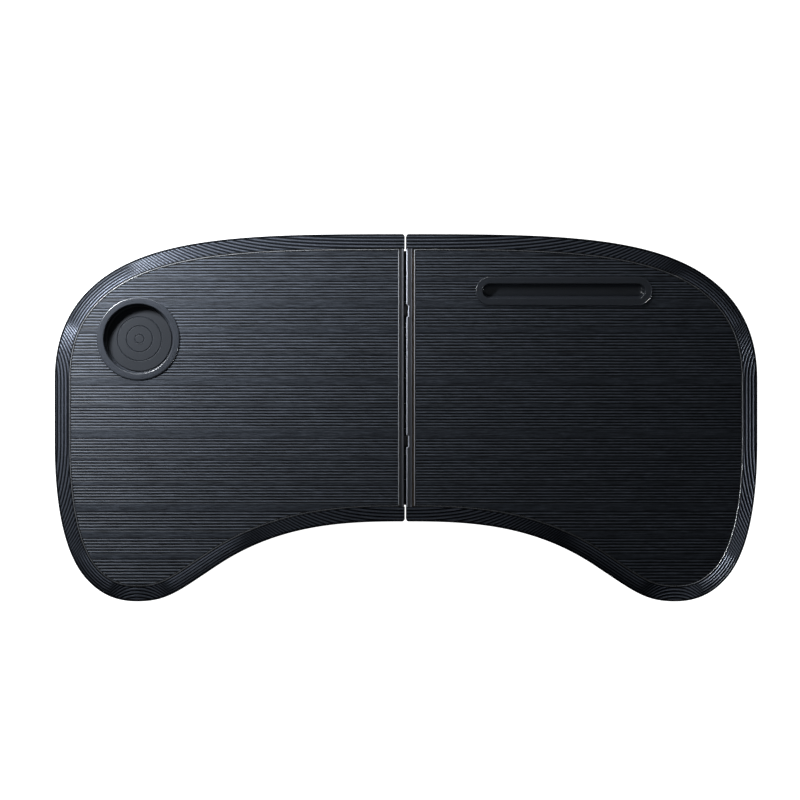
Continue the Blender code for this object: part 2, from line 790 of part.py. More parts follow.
def make_hinge_plate(side, first):
    """One plate of the hinge, its knuckles in every other place from the first."""
    ends = sorted(
        (fold_side(side, KNUCKLE_RADIUS + KNUCKLE_CLEARANCE), fold_side(side, HINGE_PLATE_WIDTH))
    )
    front = HINGE_Y - HINGE_LENGTH / 2
    plate = box(
        side + "_hinge_plate",
        (ends[0], front, HINGE_PLATE_Z),
        (ends[1], front + HINGE_LENGTH, HINGE_PLATE_TOP_Z),
    )
    pitch = HINGE_LENGTH / KNUCKLE_COUNT
    for place in range(first, KNUCKLE_COUNT, 2):
        low = front + place * pitch + (KNUCKLE_CLEARANCE / 2 if place else 0.0)
        last = place == KNUCKLE_COUNT - 1
        high = front + (place + 1) * pitch - (0.0 if last else KNUCKLE_CLEARANCE / 2)
        combine(plate, across_solid("knuckle", knuckle_loops(side), low, high), "UNION")
    for x, y in hinge_screw_places(side):
        cut_screw_seat(plate, x, y, HINGE_PLATE_Z, HINGE_PLATE_TOP_Z)
    return finished(plate, STEEL_FINISH)


def screw_profile(length):
    """A countersunk screw standing on its head, its point up."""
    return [
        (0.0, length),
        (SCREW_RADIUS, length - SCREW_POINT),
        (SCREW_RADIUS, SCREW_HEAD_DEPTH),
        (SCREW_HEAD_RADIUS, 0.0),
        (0.0, 0.0),
    ]


def leg_path(side):
    """The centre line of a U frame, stowed, from its back pivot to its front one."""
    sign = SIGNS[side]
    pivot = fold_side(side, PIVOT_X)
    bar = fold_side(side, BAR_FROM_FOLD)
    path = [(pivot, UPRIGHT_BACK_Y, PIVOT_Z)]
    for y, outward in ((UPRIGHT_BACK_Y, 1), (UPRIGHT_FRONT_Y, -1)):
        corner = []
        for step in range(BEND_STEPS + 1):
            angle = math.pi / 2 * step / BEND_STEPS
            corner.append(
                (
                    bar + sign * LEG_BEND * (1 - math.sin(angle)),
                    y - outward * LEG_BEND * (1 - math.cos(angle)),
                    PIVOT_Z,
                )
            )
        path += corner if outward > 0 else corner[::-1]
    path.append((pivot, UPRIGHT_FRONT_Y, PIVOT_Z))
    return path


def make_leg_frame(side):
    curve = bpy.data.curves.new(side + "_leg_frame", "CURVE")
    curve.dimensions = "3D"
    curve.bevel_depth = LEG_RADIUS
    curve.bevel_resolution = TUBE_STEPS
    curve.use_fill_caps = True
    path = leg_path(side)
    spline = curve.splines.new("POLY")
    spline.points.add(len(path) - 1)
    for point, place in zip(spline.points, path):
        point.co = (*place, 1.0)
    frame = bpy.data.objects.new(side + "_leg_frame", mesh_of_curve(curve))
    register(frame, None, HELPERS)
    x = fold_side(side, PIVOT_X)
    half = EYE_HALF_WIDTH
    for y in (UPRIGHT_BACK_Y, UPRIGHT_FRONT_Y):
        eye = rod("eye", (x, y - half, PIVOT_Z), (x, y + half, PIVOT_Z), EYE_RADIUS)
        combine(frame, eye, "UNION")
    half = EYE_HALF_WIDTH + OVERRUN
    for y in (UPRIGHT_BACK_Y, UPRIGHT_FRONT_Y):
        hole = rod("eye_hole", (x, y - half, PIVOT_Z), (x, y + half, PIVOT_Z), EYE_HOLE_RADIUS)
        combine(frame, hole, "DIFFERENCE")
    return finished(frame, LEG_FINISH)


def stop_reach():
    """How far outward of the pivot the bracket's stop meets the deployed leg."""
    splay = math.radians(SPLAY_DEGREES)
    return LEG_RADIUS / math.cos(splay) + CHEEK_RADIUS * math.tan(splay) + SEAT_GAP


def bracket_loop():
    """The bracket's side view round the pivot at the origin, the leg lying towards +X."""
    top = LEDGE_TOP_Z - PIVOT_Z
    back = -stop_reach() - STOP_WEB
    loop = [(BRACKET_LENGTH, top), (back, top), (back, -CHEEK_RADIUS)]
    for step in range(ROUND_STEPS // 2 + 1):
        angle = math.pi / 2 * step / (ROUND_STEPS // 2) - math.pi / 2
        loop.append((CHEEK_RADIUS * math.cos(angle), CHEEK_RADIUS * math.sin(angle)))
    loop += [(CHEEK_RADIUS, top - BRACKET_BASE), (BRACKET_LENGTH, top - BRACKET_BASE)]
    return loop


def make_bracket():
    """A leg bracket with its pivot at the origin, opening towards +X."""
    inner = EYE_HALF_WIDTH + SEAT_GAP
    outer = BRACKET_HALF_WIDTH
    top = LEDGE_TOP_Z - PIVOT_Z
    bracket = across_solid("leg_bracket", [bracket_loop()], -outer, outer)
    channel = box(
        "channel",
        (-stop_reach(), -inner, -CHEEK_RADIUS - OVERRUN),
        (CHEEK_RADIUS + OVERRUN, inner, top - BRACKET_BASE),
    )
    combine(bracket, channel, "DIFFERENCE")
    pin_hole = rod(
        "pin_hole",
        (0, -outer - OVERRUN, 0),
        (0, outer + OVERRUN, 0),
        PIVOT_PIN_RADIUS + HEAD_CLEARANCE,
    )
    combine(bracket, pin_hole, "DIFFERENCE")
    for count in range(BRACKET_SCREW_COUNT):
        x = BRACKET_SCREW_FIRST + count * BRACKET_SCREW_PITCH
        cut_screw_seat(bracket, x, 0, top - BRACKET_BASE, top)
    return finished(bracket, NYLON_FINISH)


def catch_loop():
    """The catch seen from above, its screw at the origin and its arm towards -Y."""
    loop = []
    steps = ROUND_STEPS // 2
    for step in range(steps + 1):
        angle = math.pi * step / steps
        loop.append((CATCH_HUB_RADIUS * math.cos(angle), CATCH_HUB_RADIUS * math.sin(angle)))
    for step in range(steps + 1):
        angle = math.pi + math.pi * step / steps
        loop.append(
            (
                CATCH_TIP_RADIUS * math.cos(angle),
                CATCH_TIP_RADIUS * math.sin(angle) - CATCH_ARM,
            )
        )
    return loop


def make_catch():
    catch = flat_solid("leg_catch", [catch_loop()], 0.0, CATCH_THICKNESS)
    sink = rod("sink", (0, 0, -OVERRUN), (0, 0, CATCH_SINK), CATCH_HEAD_RADIUS + SEAT_GAP)
    hole = rod("hole", (0, 0, -OVERRUN), (0, 0, CATCH_THICKNESS + OVERRUN), SCREW_HOLE_RADIUS)
    combine(catch, sink, "DIFFERENCE")
    combine(catch, hole, "DIFFERENCE")
    return finished(catch, NYLON_FINISH)


def make_cup():
    top = INSERT_Z + CUP_FLANGE_THICKNESS
    floor = top - CUP_DEPTH
    profile = [
        (0.0, floor),
        (CUP_BORE_RADIUS - CUP_FILLET, floor),
        (CUP_BORE_RADIUS, floor + CUP_FILLET),
        (CUP_BORE_RADIUS, top - CUP_EDGE),
        (CUP_BORE_RADIUS + CUP_EDGE, top),
        (CUP_FLANGE_RADIUS - CUP_EDGE, top),
        (CUP_FLANGE_RADIUS, top - CUP_EDGE),
        (CUP_FLANGE_RADIUS, INSERT_Z),
        (CUP_BODY_RADIUS, INSERT_Z),
        (CUP_BODY_RADIUS, floor - CUP_WALL),
        (0.0, floor - CUP_WALL),
    ]
    cup = turned("cup_insert", profile, INSERT_FINISH, FINE_STEPS)
    cup.location = (CUP_X, CUP_Y, 0)
    radius = CUP_BORE_RADIUS - CUP_FILLET
    low = floor + SEAT_GAP
    high = low + MAT_THICKNESS
    profile = [(0.0, high), (radius, high), (radius, low), (0.0, low)]
    mat = turned("cup_mat", profile, RUBBER_FINISH, FINE_STEPS)
    mat.location = (CUP_X, CUP_Y, 0)
    return cup, mat


def make_slot():
    top = INSERT_Z + SLOT_FLANGE_THICKNESS
    margin = 2 * SLOT_FLANGE_MARGIN
    outline = stadium(SLOT_X, SLOT_Y, SLOT_LENGTH + margin, SLOT_WIDTH + margin)
    slot = flat_solid("pen_slot_insert", [outline], INSERT_Z, top)
    wall = 2 * SLOT_WALL
    outline = stadium(SLOT_X, SLOT_Y, SLOT_LENGTH + wall, SLOT_WIDTH + wall)
    body = flat_solid("body", [outline], CORE_Z, (INSERT_Z + top) / 2)
    combine(slot, body, "UNION")
    outline = stadium(SLOT_X, SLOT_Y, SLOT_LENGTH, SLOT_WIDTH)
    trough = flat_solid("trough", [outline], SLOT_FLOOR_Z, top + OVERRUN)
    edited = bmesh.new()
    edited.from_mesh(trough.data)
    foot = []
    for edge in edited.edges:
        low = all(abs(corner.co.z - SLOT_FLOOR_Z) < WELD_DISTANCE for corner in edge.verts)
        if low and sum(round(abs(face.normal.z)) for face in edge.link_faces) == 1:
            foot.append(edge)
    bmesh.ops.bevel(edited, geom=foot, offset=SLOT_ROUND, segments=SCOOP_STEPS, affect="EDGES")
    edited.to_mesh(trough.data)
    edited.free()
    combine(slot, trough, "DIFFERENCE")
    return finished(slot, INSERT_FINISH)


def make_bumper():
    head = SKIRT_Z - SEAT_GAP
    profile = [
        (0.0, head + BUMPER_STEM_LENGTH),
        (BUMPER_STEM_RADIUS, head + BUMPER_STEM_LENGTH),
        (BUMPER_STEM_RADIUS, head),
        (BUMPER_RADIUS, head),
        (BUMPER_RADIUS, 0.0),
        (0.0, 0.0),
    ]
    return turned("bumper", profile, RUBBER_FINISH)


def make_leaf(side):
    """Everything fixed to one leaf that isn't in the fold or the legs."""
    return [make_rim(side), make_core(side), make_panel(side), make_spine(side), make_batten(side)]


def make_leg(side, masters):
    """A leg frame with its sleeves, and the fixed pieces that carry it."""
    frame = make_leg_frame(side)
    bar_x = fold_side(side, BAR_FROM_FOLD)
    moving = [frame]
    for end, y in (
        ("back", UPRIGHT_BACK_Y - SLEEVE_INSET),
        ("front", UPRIGHT_FRONT_Y + SLEEVE_INSET),
    ):
        name = f"{side}_{end}_foot_sleeve"
        moving.append(copy_of(masters["sleeve"], name, (bar_x, y, PIVOT_Z), (math.pi / 2, 0, 0)))
    fixed = []
    turn = (0, 0, 0 if side == "left" else math.pi)
    for end, (x, y) in bracket_places(side).items():
        place = (x, y, PIVOT_Z)
        fixed.append(copy_of(masters["bracket"], f"{side}_{end}_leg_bracket", place, turn))
        pin = copy_of(masters["pin"], f"{side}_{end}_pivot_pin", place, (math.pi / 2, 0, 0))
        fixed.append(pin)
    for end, count, x, y in bracket_screw_places(side):
        name = f"{side}_{end}_bracket_screw_{count + 1}"
        fixed.append(copy_of(masters["bracket_screw"], name, (x, y, LEDGE_Z)))
    empty = axis_empty(side + "_leg_axis", (fold_side(side, PIVOT_X), 0, PIVOT_Z))
    carry(empty, *moving)
    return fixed, empty


def make_catch_set(side, masters):
    place = (fold_side(side, CATCH_X), CATCH_Y)
    post = copy_of(masters["post"], side + "_catch_post", (*place, 0))
    screw = copy_of(masters["catch_screw"], side + "_catch_screw", (*place, 0))
    catch = copy_of(masters["catch"], side + "_leg_catch", (*place, CATCH_Z))
    empty = axis_empty(side + "_catch_axis", (*place, CATCH_Z))
    carry(empty, catch)
    return [post, screw], empty


def post_profile():
    low = CATCH_TOP_Z + SEAT_GAP
    high = CORE_Z - SEAT_GAP
    return [
        (CATCH_POST_RADIUS, high),
        (CATCH_POST_RADIUS, low),
        (SCREW_HOLE_RADIUS, low),
        (SCREW_HOLE_RADIUS, high),
    ]


def catch_screw_profile():
    """A flat-headed screw up through the catch and its post into the board."""
    seat = CATCH_Z + CATCH_SINK - HEAD_CLEARANCE
    tip = CORE_Z + CATCH_SCREW_BITE
    return [
        (0.0, tip),
        (SCREW_RADIUS, tip - SCREW_POINT),
        (SCREW_RADIUS, seat),
        (CATCH_HEAD_RADIUS, seat),
        (CATCH_HEAD_RADIUS, seat - CATCH_HEAD_THICKNESS),
        (0.0, seat - CATCH_HEAD_THICKNESS),
    ]


def pivot_pin_profile():
    """A pin with a head at each end, along the pivot."""
    half = BRACKET_HALF_WIDTH + HEAD_CLEARANCE
    end = half + PIN_HEAD_THICKNESS
    return [
        (0.0, end),
        (PIN_HEAD_RADIUS, end),
        (PIN_HEAD_RADIUS, half),
        (PIVOT_PIN_RADIUS, half),
        (PIVOT_PIN_RADIUS, -half),
        (PIN_HEAD_RADIUS, -half),
        (PIN_HEAD_RADIUS, -end),
        (0.0, -end),
    ]


def sleeve_profile():
    half = SLEEVE_LENGTH / 2
    inner = SLEEVE_BORE_RADIUS
    outer = inner + SLEEVE_WALL
    return [(outer, half), (outer, -half), (inner, -half), (inner, half)]


def masters_for_copies():
    """The shapes that the table has more than one of."""
    return {
        "bracket": make_bracket(),
        "catch": make_catch(),
        "sleeve": turned("sleeve", sleeve_profile(), RUBBER_FINISH, closed=True),
        "pin": turned("pin", pivot_pin_profile(), STEEL_FINISH),
        "hinge_screw": turned("hinge_screw", screw_profile(HINGE_SCREW_LENGTH), STEEL_FINISH),
        "bracket_screw": turned("bracket_screw", screw_profile(BRACKET_SCREW_LENGTH), STEEL_FINISH),
        "post": turned("post", post_profile(), NYLON_FINISH, closed=True),
        "catch_screw": turned("catch_screw", catch_screw_profile(), STEEL_FINISH),
        "bumper": make_bumper(),
    }


def build():
    masters = masters_for_copies()
    fold = axis_empty("fold_axis", (FOLD_X, 0, FOLD_Z))
    for side in SIGNS:
        carried = make_leaf(side)
        carried.append(make_hinge_plate(side, 0 if side == "left" else 1))
        for count, (x, y) in enumerate(hinge_screw_places(side)):
            name = f"{side}_hinge_screw_{count + 1}"
            carried.append(copy_of(masters["hinge_screw"], name, (x, y, HINGE_PLATE_Z)))
        for end, (x, y) in zip(("back", "front"), bumper_places(side)):
            carried.append(copy_of(masters["bumper"], f"{side}_{end}_bumper", (x, y, 0)))
        fixed, leg_axis = make_leg(side, masters)
        catch_fixed, catch_axis = make_catch_set(side, masters)
        carried += fixed + catch_fixed + [leg_axis, catch_axis]
        if side == "left":
            make_cup()
            for end, y in lug_places().items():
                make_lug(end, y)
            front = HINGE_Y - HINGE_LENGTH / 2
            pin = rod(
                "hinge_pin",
                (FOLD_X, front, FOLD_Z),
                (FOLD_X, front + HINGE_LENGTH, FOLD_Z),
                HINGE_PIN_RADIUS,
            )
            finished(pin, STEEL_FINISH)
        else:
            carried.append(make_slot())
            carry(fold, *carried)
    for master in masters.values():
        bpy.data.objects.remove(master, do_unlink=True)


build()
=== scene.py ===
# %% [markdown]
# # A folding lap tray table
# The real object is a thin table in two leaves: a ribbed black edge moulding, ribbed
# wood-grain panels, a round cup recess and a long pen slot, with U legs folded away
# underneath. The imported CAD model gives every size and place. This script covers it
# with finer surfaces, each worked out with numpy, and with node-based finishes.

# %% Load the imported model
import math

import bmesh
import bpy
import numpy as np
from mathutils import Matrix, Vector


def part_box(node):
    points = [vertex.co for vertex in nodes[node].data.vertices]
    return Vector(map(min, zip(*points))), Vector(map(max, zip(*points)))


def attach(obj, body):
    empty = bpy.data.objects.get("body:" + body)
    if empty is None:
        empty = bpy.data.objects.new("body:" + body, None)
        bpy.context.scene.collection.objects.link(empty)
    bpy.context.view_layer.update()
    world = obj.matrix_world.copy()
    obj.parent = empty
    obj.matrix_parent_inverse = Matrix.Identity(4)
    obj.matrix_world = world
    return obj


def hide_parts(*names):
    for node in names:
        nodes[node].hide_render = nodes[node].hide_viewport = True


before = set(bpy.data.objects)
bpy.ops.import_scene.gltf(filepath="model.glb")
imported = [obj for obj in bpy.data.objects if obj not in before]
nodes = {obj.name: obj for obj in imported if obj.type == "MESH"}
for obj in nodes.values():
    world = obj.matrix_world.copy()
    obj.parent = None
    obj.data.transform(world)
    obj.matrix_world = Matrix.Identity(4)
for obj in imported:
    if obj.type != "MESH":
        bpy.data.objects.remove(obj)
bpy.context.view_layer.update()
SIDES, ENDS = {"left": -1, "right": 1}, ("back", "front")
print("CAD nodes:", len(nodes))

# %% [markdown]
# ## The outline
# One leaf's edge is a chain of cubic Bezier pieces, from the middle of the back, round
# the shoulder and the lobe, to the middle of the arch. Equal steps along its length
# make the faces of the moulding even, so the curve is resampled by arc length.

# %% Outline of one leaf
HALF_WIDTH, HALF_DEPTH, ARCH_Y = 0.350, 0.183, -0.1034
BEZIER_STEPS, FINE_STEP, COARSE_STEP, END_MARGIN = 200, 0.00078, 0.0025, 0.0003
# Each turn: x and y as shares, heading in degrees, handle before and after as shares of the width.
TURNS = [
    (0.0, 1.0, 0, 0.0, 0.450),
    (0.912, 0.677, -47, 0.228, 0.131),
    (1.0, 0.182, -90, 0.050, 0.060),
    (1.0, -0.132, -90, 0.060, 0.176),
    (0.910, -0.877, -132, 0.096, 0.060),
    (0.765, -1.0, -180, 0.060, 0.086),
    (0.535, -0.802, -213.5, 0.135, 0.217),
    (0.0, ARCH_Y / HALF_DEPTH, -180, 0.166, 0.0),
]


def heading(degrees):
    """The unit vector at an angle from X."""
    return np.array([math.cos(math.radians(degrees)), math.sin(math.radians(degrees))])


def outline(step):
    """Bezier point u^3 a + 3u^2t b + 3ut^2 c + t^3 d with u = 1 - t, then equal arc steps."""
    t = np.linspace(0, 1, BEZIER_STEPS, endpoint=False)[:, None]
    u = 1 - t
    dense = []
    for (x0, y0, h0, _, after), (x1, y1, h1, before, _) in zip(TURNS[:-1], TURNS[1:]):
        a = np.array([x0 * HALF_WIDTH, y0 * HALF_DEPTH])
        d = np.array([x1 * HALF_WIDTH, y1 * HALF_DEPTH])
        b = a + after * HALF_WIDTH * heading(h0)
        c = d - before * HALF_WIDTH * heading(h1)
        dense.append(u**3 * a + 3 * u * u * t * b + 3 * u * t * t * c + t**3 * d)
    dense = np.concatenate([*dense, [[0.0, ARCH_Y]]])
    length = np.concatenate([[0], np.cumsum(np.linalg.norm(np.diff(dense, axis=0), axis=1))])
    at = np.linspace(0, length[-1], int(length[-1] / step) + 1)
    points = np.stack([np.interp(at, length, dense[:, k]) for k in (0, 1)], axis=1)
    slope = np.gradient(points, axis=0)
    slope /= np.linalg.norm(slope, axis=1)[:, None]
    return points, np.stack([-slope[:, 1], slope[:, 0]], axis=1)


FINE_EDGE, COARSE_EDGE = outline(FINE_STEP), outline(COARSE_STEP)
print("outline points:", len(FINE_EDGE[0]), "fine and", len(COARSE_EDGE[0]), "coarse")


def leaf_edge(side, end_x, edge=FINE_EDGE):
    """The outline of one leaf, mirrored for the left one and cut square at x = end_x."""
    sign = SIDES[side]
    points, normals = edge[0] * (sign, 1), edge[1] * (sign, 1)
    keep = sign * (points[:, 0] - end_x) > END_MARGIN
    points, normals = points[keep], normals[keep]
    points = np.concatenate([[[end_x, points[0, 1]]], points, [[end_x, points[-1, 1]]]])
    return points, np.concatenate([[[0.0, 1.0]], normals, [[0.0, -1.0]]])


# %% [markdown]
# ## From arrays to meshes
# Every new piece is a grid of points. A cell of the grid is one four-cornered face, and
# a piece may join several grids. Doubles are merged and the faces turned outwards.

# %% Helpers that turn grids into pieces
MERGE_DISTANCE = 2e-6


def middle_of(name):
    """A CAD node's middle, and its low and high corners."""
    low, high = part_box(name)
    return np.array([(a + b) / 2 for a, b in zip(low, high)]), low, high


def grid_faces(rows, columns, closed=False):
    """The cell (i, j) joins the points (i, j), (i+1, j), (i+1, j+1) and (i, j+1)."""
    i, j = np.meshgrid(np.arange(rows - 1), np.arange(columns - (not closed)), indexing="ij")
    i, j = i.ravel() * columns, j.ravel()
    right = (j + 1) % columns
    return np.stack([i + j, i + columns + j, i + columns + right, i + right], 1).tolist()


def show(name, data):
    """A new object of this name and data, at the origin, in the scene's collection."""
    made = bpy.data.objects.new(name, data)
    bpy.context.scene.collection.objects.link(made)
    return made


def piece(name, parts, sharp=40, relief=None):
    """One mesh object from (points, faces) pairs, smooth except at edges over the angle.
    The relief is a number for each point, 0 in a groove and 1 on a crest, from which the finish paints
    shade and highlights."""
    points, faces, start = [], [], 0
    for part_points, part_faces in parts:
        part_points = np.asarray(part_points, float).reshape(-1, 3)
        points.append(part_points)
        faces += [[start + index for index in face] for face in part_faces]
        start += len(part_points)
    mesh = bpy.data.meshes.new(name)
    mesh.from_pydata(np.concatenate(points), [], faces)
    if relief is not None:
        layer = mesh.attributes.new("relief", "FLOAT", "POINT")
        layer.data.foreach_set("value", np.concatenate([np.ravel(part) for part in relief]))
    edited = bmesh.new()
    edited.from_mesh(mesh)
    bmesh.ops.remove_doubles(edited, verts=edited.verts, dist=MERGE_DISTANCE)
    bmesh.ops.recalc_face_normals(edited, faces=edited.faces)
    edited.to_mesh(mesh)
    edited.free()
    mesh.shade_smooth()
    mesh.set_sharp_from_angle(angle=math.radians(sharp))
    return show(name, mesh)


def dress(made, body, finish, slot, *replaced):
    """Gives a piece its finish, its body and the CAD nodes that it stands for; the slot is not used."""
    made.data.materials.clear()
    made.data.materials.append(finish)
    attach(made, body)
    if replaced:
        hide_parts(*replaced)
    print(made.name, len(made.data.polygons), "faces")


def tube_parts(points):
    """A grid whose columns close into rings, with its first and last ring capped."""
    rows, columns = points.shape[:2]
    faces = grid_faces(rows, columns, closed=True)
    faces += [list(range(columns)), list(range((rows - 1) * columns, rows * columns))]
    return points, faces


def arc(centre, radius, start, end, steps):
    """Points centre + radius (cos a, sin a), a from start to end in degrees."""
    a = np.radians(np.linspace(start, end, steps))
    return np.stack([centre[0] + radius * np.cos(a), centre[1] + radius * np.sin(a)], 1)


def turned_parts(profile, centre, steps=48, along="Z"):
    """Profile point (r, h) at angle a stands at r cos a, r sin a across and h along the axis."""
    profile = np.asarray(profile, float)
    a = np.linspace(0, 2 * math.pi, steps, endpoint=False)
    r, h = profile[:, :1], profile[:, 1:]
    ring = np.stack([r * np.cos(a), r * np.sin(a), h + 0 * a], axis=-1)
    order = {"X": [2, 0, 1], "Y": [0, 2, 1], "Z": [0, 1, 2]}[along]
    return ring[..., order] + centre, grid_faces(len(profile), steps, closed=True)


# %% [markdown]
# ## Finishes
# Real moulded plastic, laminate and metal are never one flat colour. A node group that
# several finishes share is built once: a fine speckle for moulded surfaces, and a grain
# stretched along X or Y for the laminate, the board and the brushed metal. Each has soft
# large patches mixed in. A further group paints shade into the grooves of a ribbed piece and a highlight on
# its crests.

# %% Shader node groups
def node(tree, kind, place, **settings):
    """A new node of a kind at a place, with its settings."""
    made = tree.nodes.new(kind)
    made.location = place
    for key, value in settings.items():
        setattr(made, key, value)
    return made


def wire(tree, *links):
    """Each link is a node and its output, then a node and its input."""
    for start, output, end, socket in links:
        tree.links.new(start.outputs[output], end.inputs[socket])


def fill(made, **values):
    """Sets a node's inputs by name, with an underscore for each space."""
    for socket, value in values.items():
        made.inputs[socket.replace("_", " ")].default_value = value


def group(name, inputs, outputs):
    """An empty node group with these sockets, of a colour where a default has four values."""
    tree = bpy.data.node_groups.new(name, "ShaderNodeTree")
    for in_out, sockets in (("INPUT", inputs), ("OUTPUT", outputs)):
        for socket, default in sockets.items():
            kind = "NodeSocketColor" if isinstance(default, tuple) else "NodeSocketFloat"
            made = tree.interface.new_socket(name=socket, in_out=in_out, socket_type=kind)
            made.default_value = default
    return tree, node(tree, "NodeGroupInput", (-900, 0)), node(tree, "NodeGroupOutput", (500, 0))


def stretched_noise(tree, scale_socket, stretch, place, detail=5.0, rough=0.6):
    """Noise on Object coordinates, its scale times the stretch along each axis."""
    coords = node(tree, "ShaderNodeTexCoord", (place[0] - 500, place[1]))
    mapping = node(tree, "ShaderNodeMapping", (place[0] - 300, place[1]))
    fill(mapping, Scale=stretch)
    noise = node(tree, "ShaderNodeTexNoise", place)
    fill(noise, Detail=detail, Roughness=rough)
    wire(tree, (coords, "Object", mapping, "Vector"), (mapping, "Vector", noise, "Vector"))
    if scale_socket is not None:
        tree.links.new(scale_socket, noise.inputs["Scale"])
    return noise


BLACK, WHITE = (0.0, 0.0, 0.0, 1.0), (1.0, 1.0, 1.0, 1.0)
PATCH_SCALE, PATCH_SHARE = (6.0, 6.0, 6.0), 0.12


def make_surface_group(name, stretch):
    """Colour and roughness that wander between two values, and a height for bumps."""
    tree, given, put = group(
        name,
        {"Dark": BLACK, "Light": WHITE, "Scale": 100.0, "Contrast": 0.5,
         "Rough Low": 0.4, "Rough High": 0.6},
        {"Color": WHITE, "Roughness": 0.5, "Height": 0.0},
    )
    noise = stretched_noise(tree, given.outputs["Scale"], stretch, (-400, 200))
    patches = stretched_noise(tree, None, PATCH_SCALE, (-400, -200), detail=2.0)
    mix_noise = node(tree, "ShaderNodeMix", (-150, 100), data_type="FLOAT")
    fill(mix_noise, Factor=PATCH_SHARE)
    wire(tree, (noise, "Fac", mix_noise, "A"), (patches, "Fac", mix_noise, "B"))
    spread = node(tree, "ShaderNodeMapRange", (0, 100))
    low = node(tree, "ShaderNodeMath", (-150, -100), operation="MULTIPLY_ADD")
    high = node(tree, "ShaderNodeMath", (-150, -250), operation="MULTIPLY_ADD")
    for side_node, factor in ((low, -0.5), (high, 0.5)):
        wire(tree, (given, "Contrast", side_node, 0))
        side_node.inputs[1].default_value = factor
        side_node.inputs[2].default_value = 0.5
    wire(
        tree, (mix_noise, "Result", spread, "Value"), (low, 0, spread, "From Min"),
        (high, 0, spread, "From Max"),
    )
    colour = node(tree, "ShaderNodeMix", (250, 150), data_type="RGBA")
    wire(
        tree, (spread, "Result", colour, "Factor"), (given, "Dark", colour, "A"),
        (given, "Light", colour, "B"),
    )
    rough = node(tree, "ShaderNodeMix", (250, -50), data_type="FLOAT")
    wire(
        tree, (spread, "Result", rough, "Factor"), (given, "Rough Low", rough, "A"),
        (given, "Rough High", rough, "B"), (colour, "Result", put, "Color"),
        (rough, "Result", put, "Roughness"), (noise, "Fac", put, "Height"),
    )
    return tree


SPECKLE = make_surface_group("moulded speckle", (1.0, 1.0, 1.0))
GRAIN_X = make_surface_group("grain along X", (0.16, 1.0, 1.0))
GRAIN_Y = make_surface_group("grain along Y", (1.0, 0.06, 1.0))


def make_painted_rib_light_group():
    """Colour times a factor that runs from Groove at relief 0 to Crest at relief 1: painted shade in the
    grooves and a painted highlight on the crests.
    """
    tree, given, put = group(
        "painted groove shade and crest highlight",
        {"Color": WHITE, "Relief": 0.5, "Groove": 0.4, "Crest": 1.6},
        {"Color": WHITE},
    )
    reach = node(tree, "ShaderNodeMath", (-600, -100), operation="SUBTRACT")
    factor = node(tree, "ShaderNodeMath", (-400, -100), operation="MULTIPLY_ADD")
    scaled = node(tree, "ShaderNodeVectorMath", (-100, 0), operation="SCALE")
    wire(
        tree, (given, "Crest", reach, 0), (given, "Groove", reach, 1), (given, "Relief", factor, 0),
        (reach, 0, factor, 1), (given, "Groove", factor, 2), (given, "Color", scaled, 0),
        (factor, 0, scaled, "Scale"), (scaled, 0, put, "Color"),
    )
    return tree


PAINTED_RIB_LIGHT = make_painted_rib_light_group()


# %% [markdown]
# Each finish places one of these groups in front of a Principled shader, with its own
# colours, scale and bump height.

# %% The finishes
def finish(name, surface, dark, light, scale, rough, bump, contrast=0.5, grooves=None, **fixed):
    """A material: colours, roughness and bumps from the group, the rest set on the shader.
    With grooves = (groove, crest) the piece's relief paints shade into its grooves and a highlight on its
    crests."""
    made = bpy.data.materials.new(name)
    made.use_nodes = True
    tree = made.node_tree
    shader = tree.nodes["Principled BSDF"]
    grain = node(tree, "ShaderNodeGroup", (-500, 200), node_tree=surface)
    fill(grain, Dark=(*dark, 1.0), Light=(*light, 1.0), Scale=scale, Contrast=contrast)
    fill(grain, Rough_Low=rough[0], Rough_High=rough[1])
    bumps = node(tree, "ShaderNodeBump", (-250, -200))
    fill(bumps, Strength=1.0, Distance=bump)
    colour = grain.outputs["Color"]
    # The relief attribute scales the colour: painted shade in the grooves, painted highlight on the crests.
    if grooves is not None:
        relief = node(tree, "ShaderNodeAttribute", (-500, -50), attribute_name="relief")
        shade = node(tree, "ShaderNodeGroup", (-250, 200), node_tree=PAINTED_RIB_LIGHT)
        fill(shade, Groove=grooves[0], Crest=grooves[1])
        tree.links.new(colour, shade.inputs["Color"])
        wire(tree, (relief, "Fac", shade, "Relief"))
        colour = shade.outputs["Color"]
    tree.links.new(colour, shader.inputs["Base Color"])
    wire(
        tree, (grain, "Roughness", shader, "Roughness"), (grain, "Height", bumps, "Height"),
        (bumps, "Normal", shader, "Normal"),
    )
    fill(shader, **fixed)
    return made


# The laminate's grooves paint shade into the rib grooves and highlights on the crests.
LAMINATE = finish(
    "charcoal wood-grain laminate", GRAIN_X, (0.0165, 0.0195, 0.025), (0.056, 0.064, 0.079),
    900, (0.42, 0.60), 0.00006, grooves=(0.05, 2.4), Specular_IOR_Level=0.25,
)
# The moulding's grooves paint shade into its rib grooves and highlights on the crests.
MOULDING = finish(
    "ribbed black moulding", SPECKLE, (0.020, 0.0225, 0.028), (0.039, 0.0435, 0.053),
    700, (0.28, 0.36), 0.000003, grooves=(0.03, 2.8), Specular_IOR_Level=0.04, Metallic=0.3,
)
INSERT = finish(
    "satin charcoal insert", SPECKLE, (0.0345, 0.0386, 0.0470), (0.0372, 0.0414, 0.0500),
    300, (0.21, 0.24), 0.000001, 0.6, Specular_IOR_Level=0.8,
)
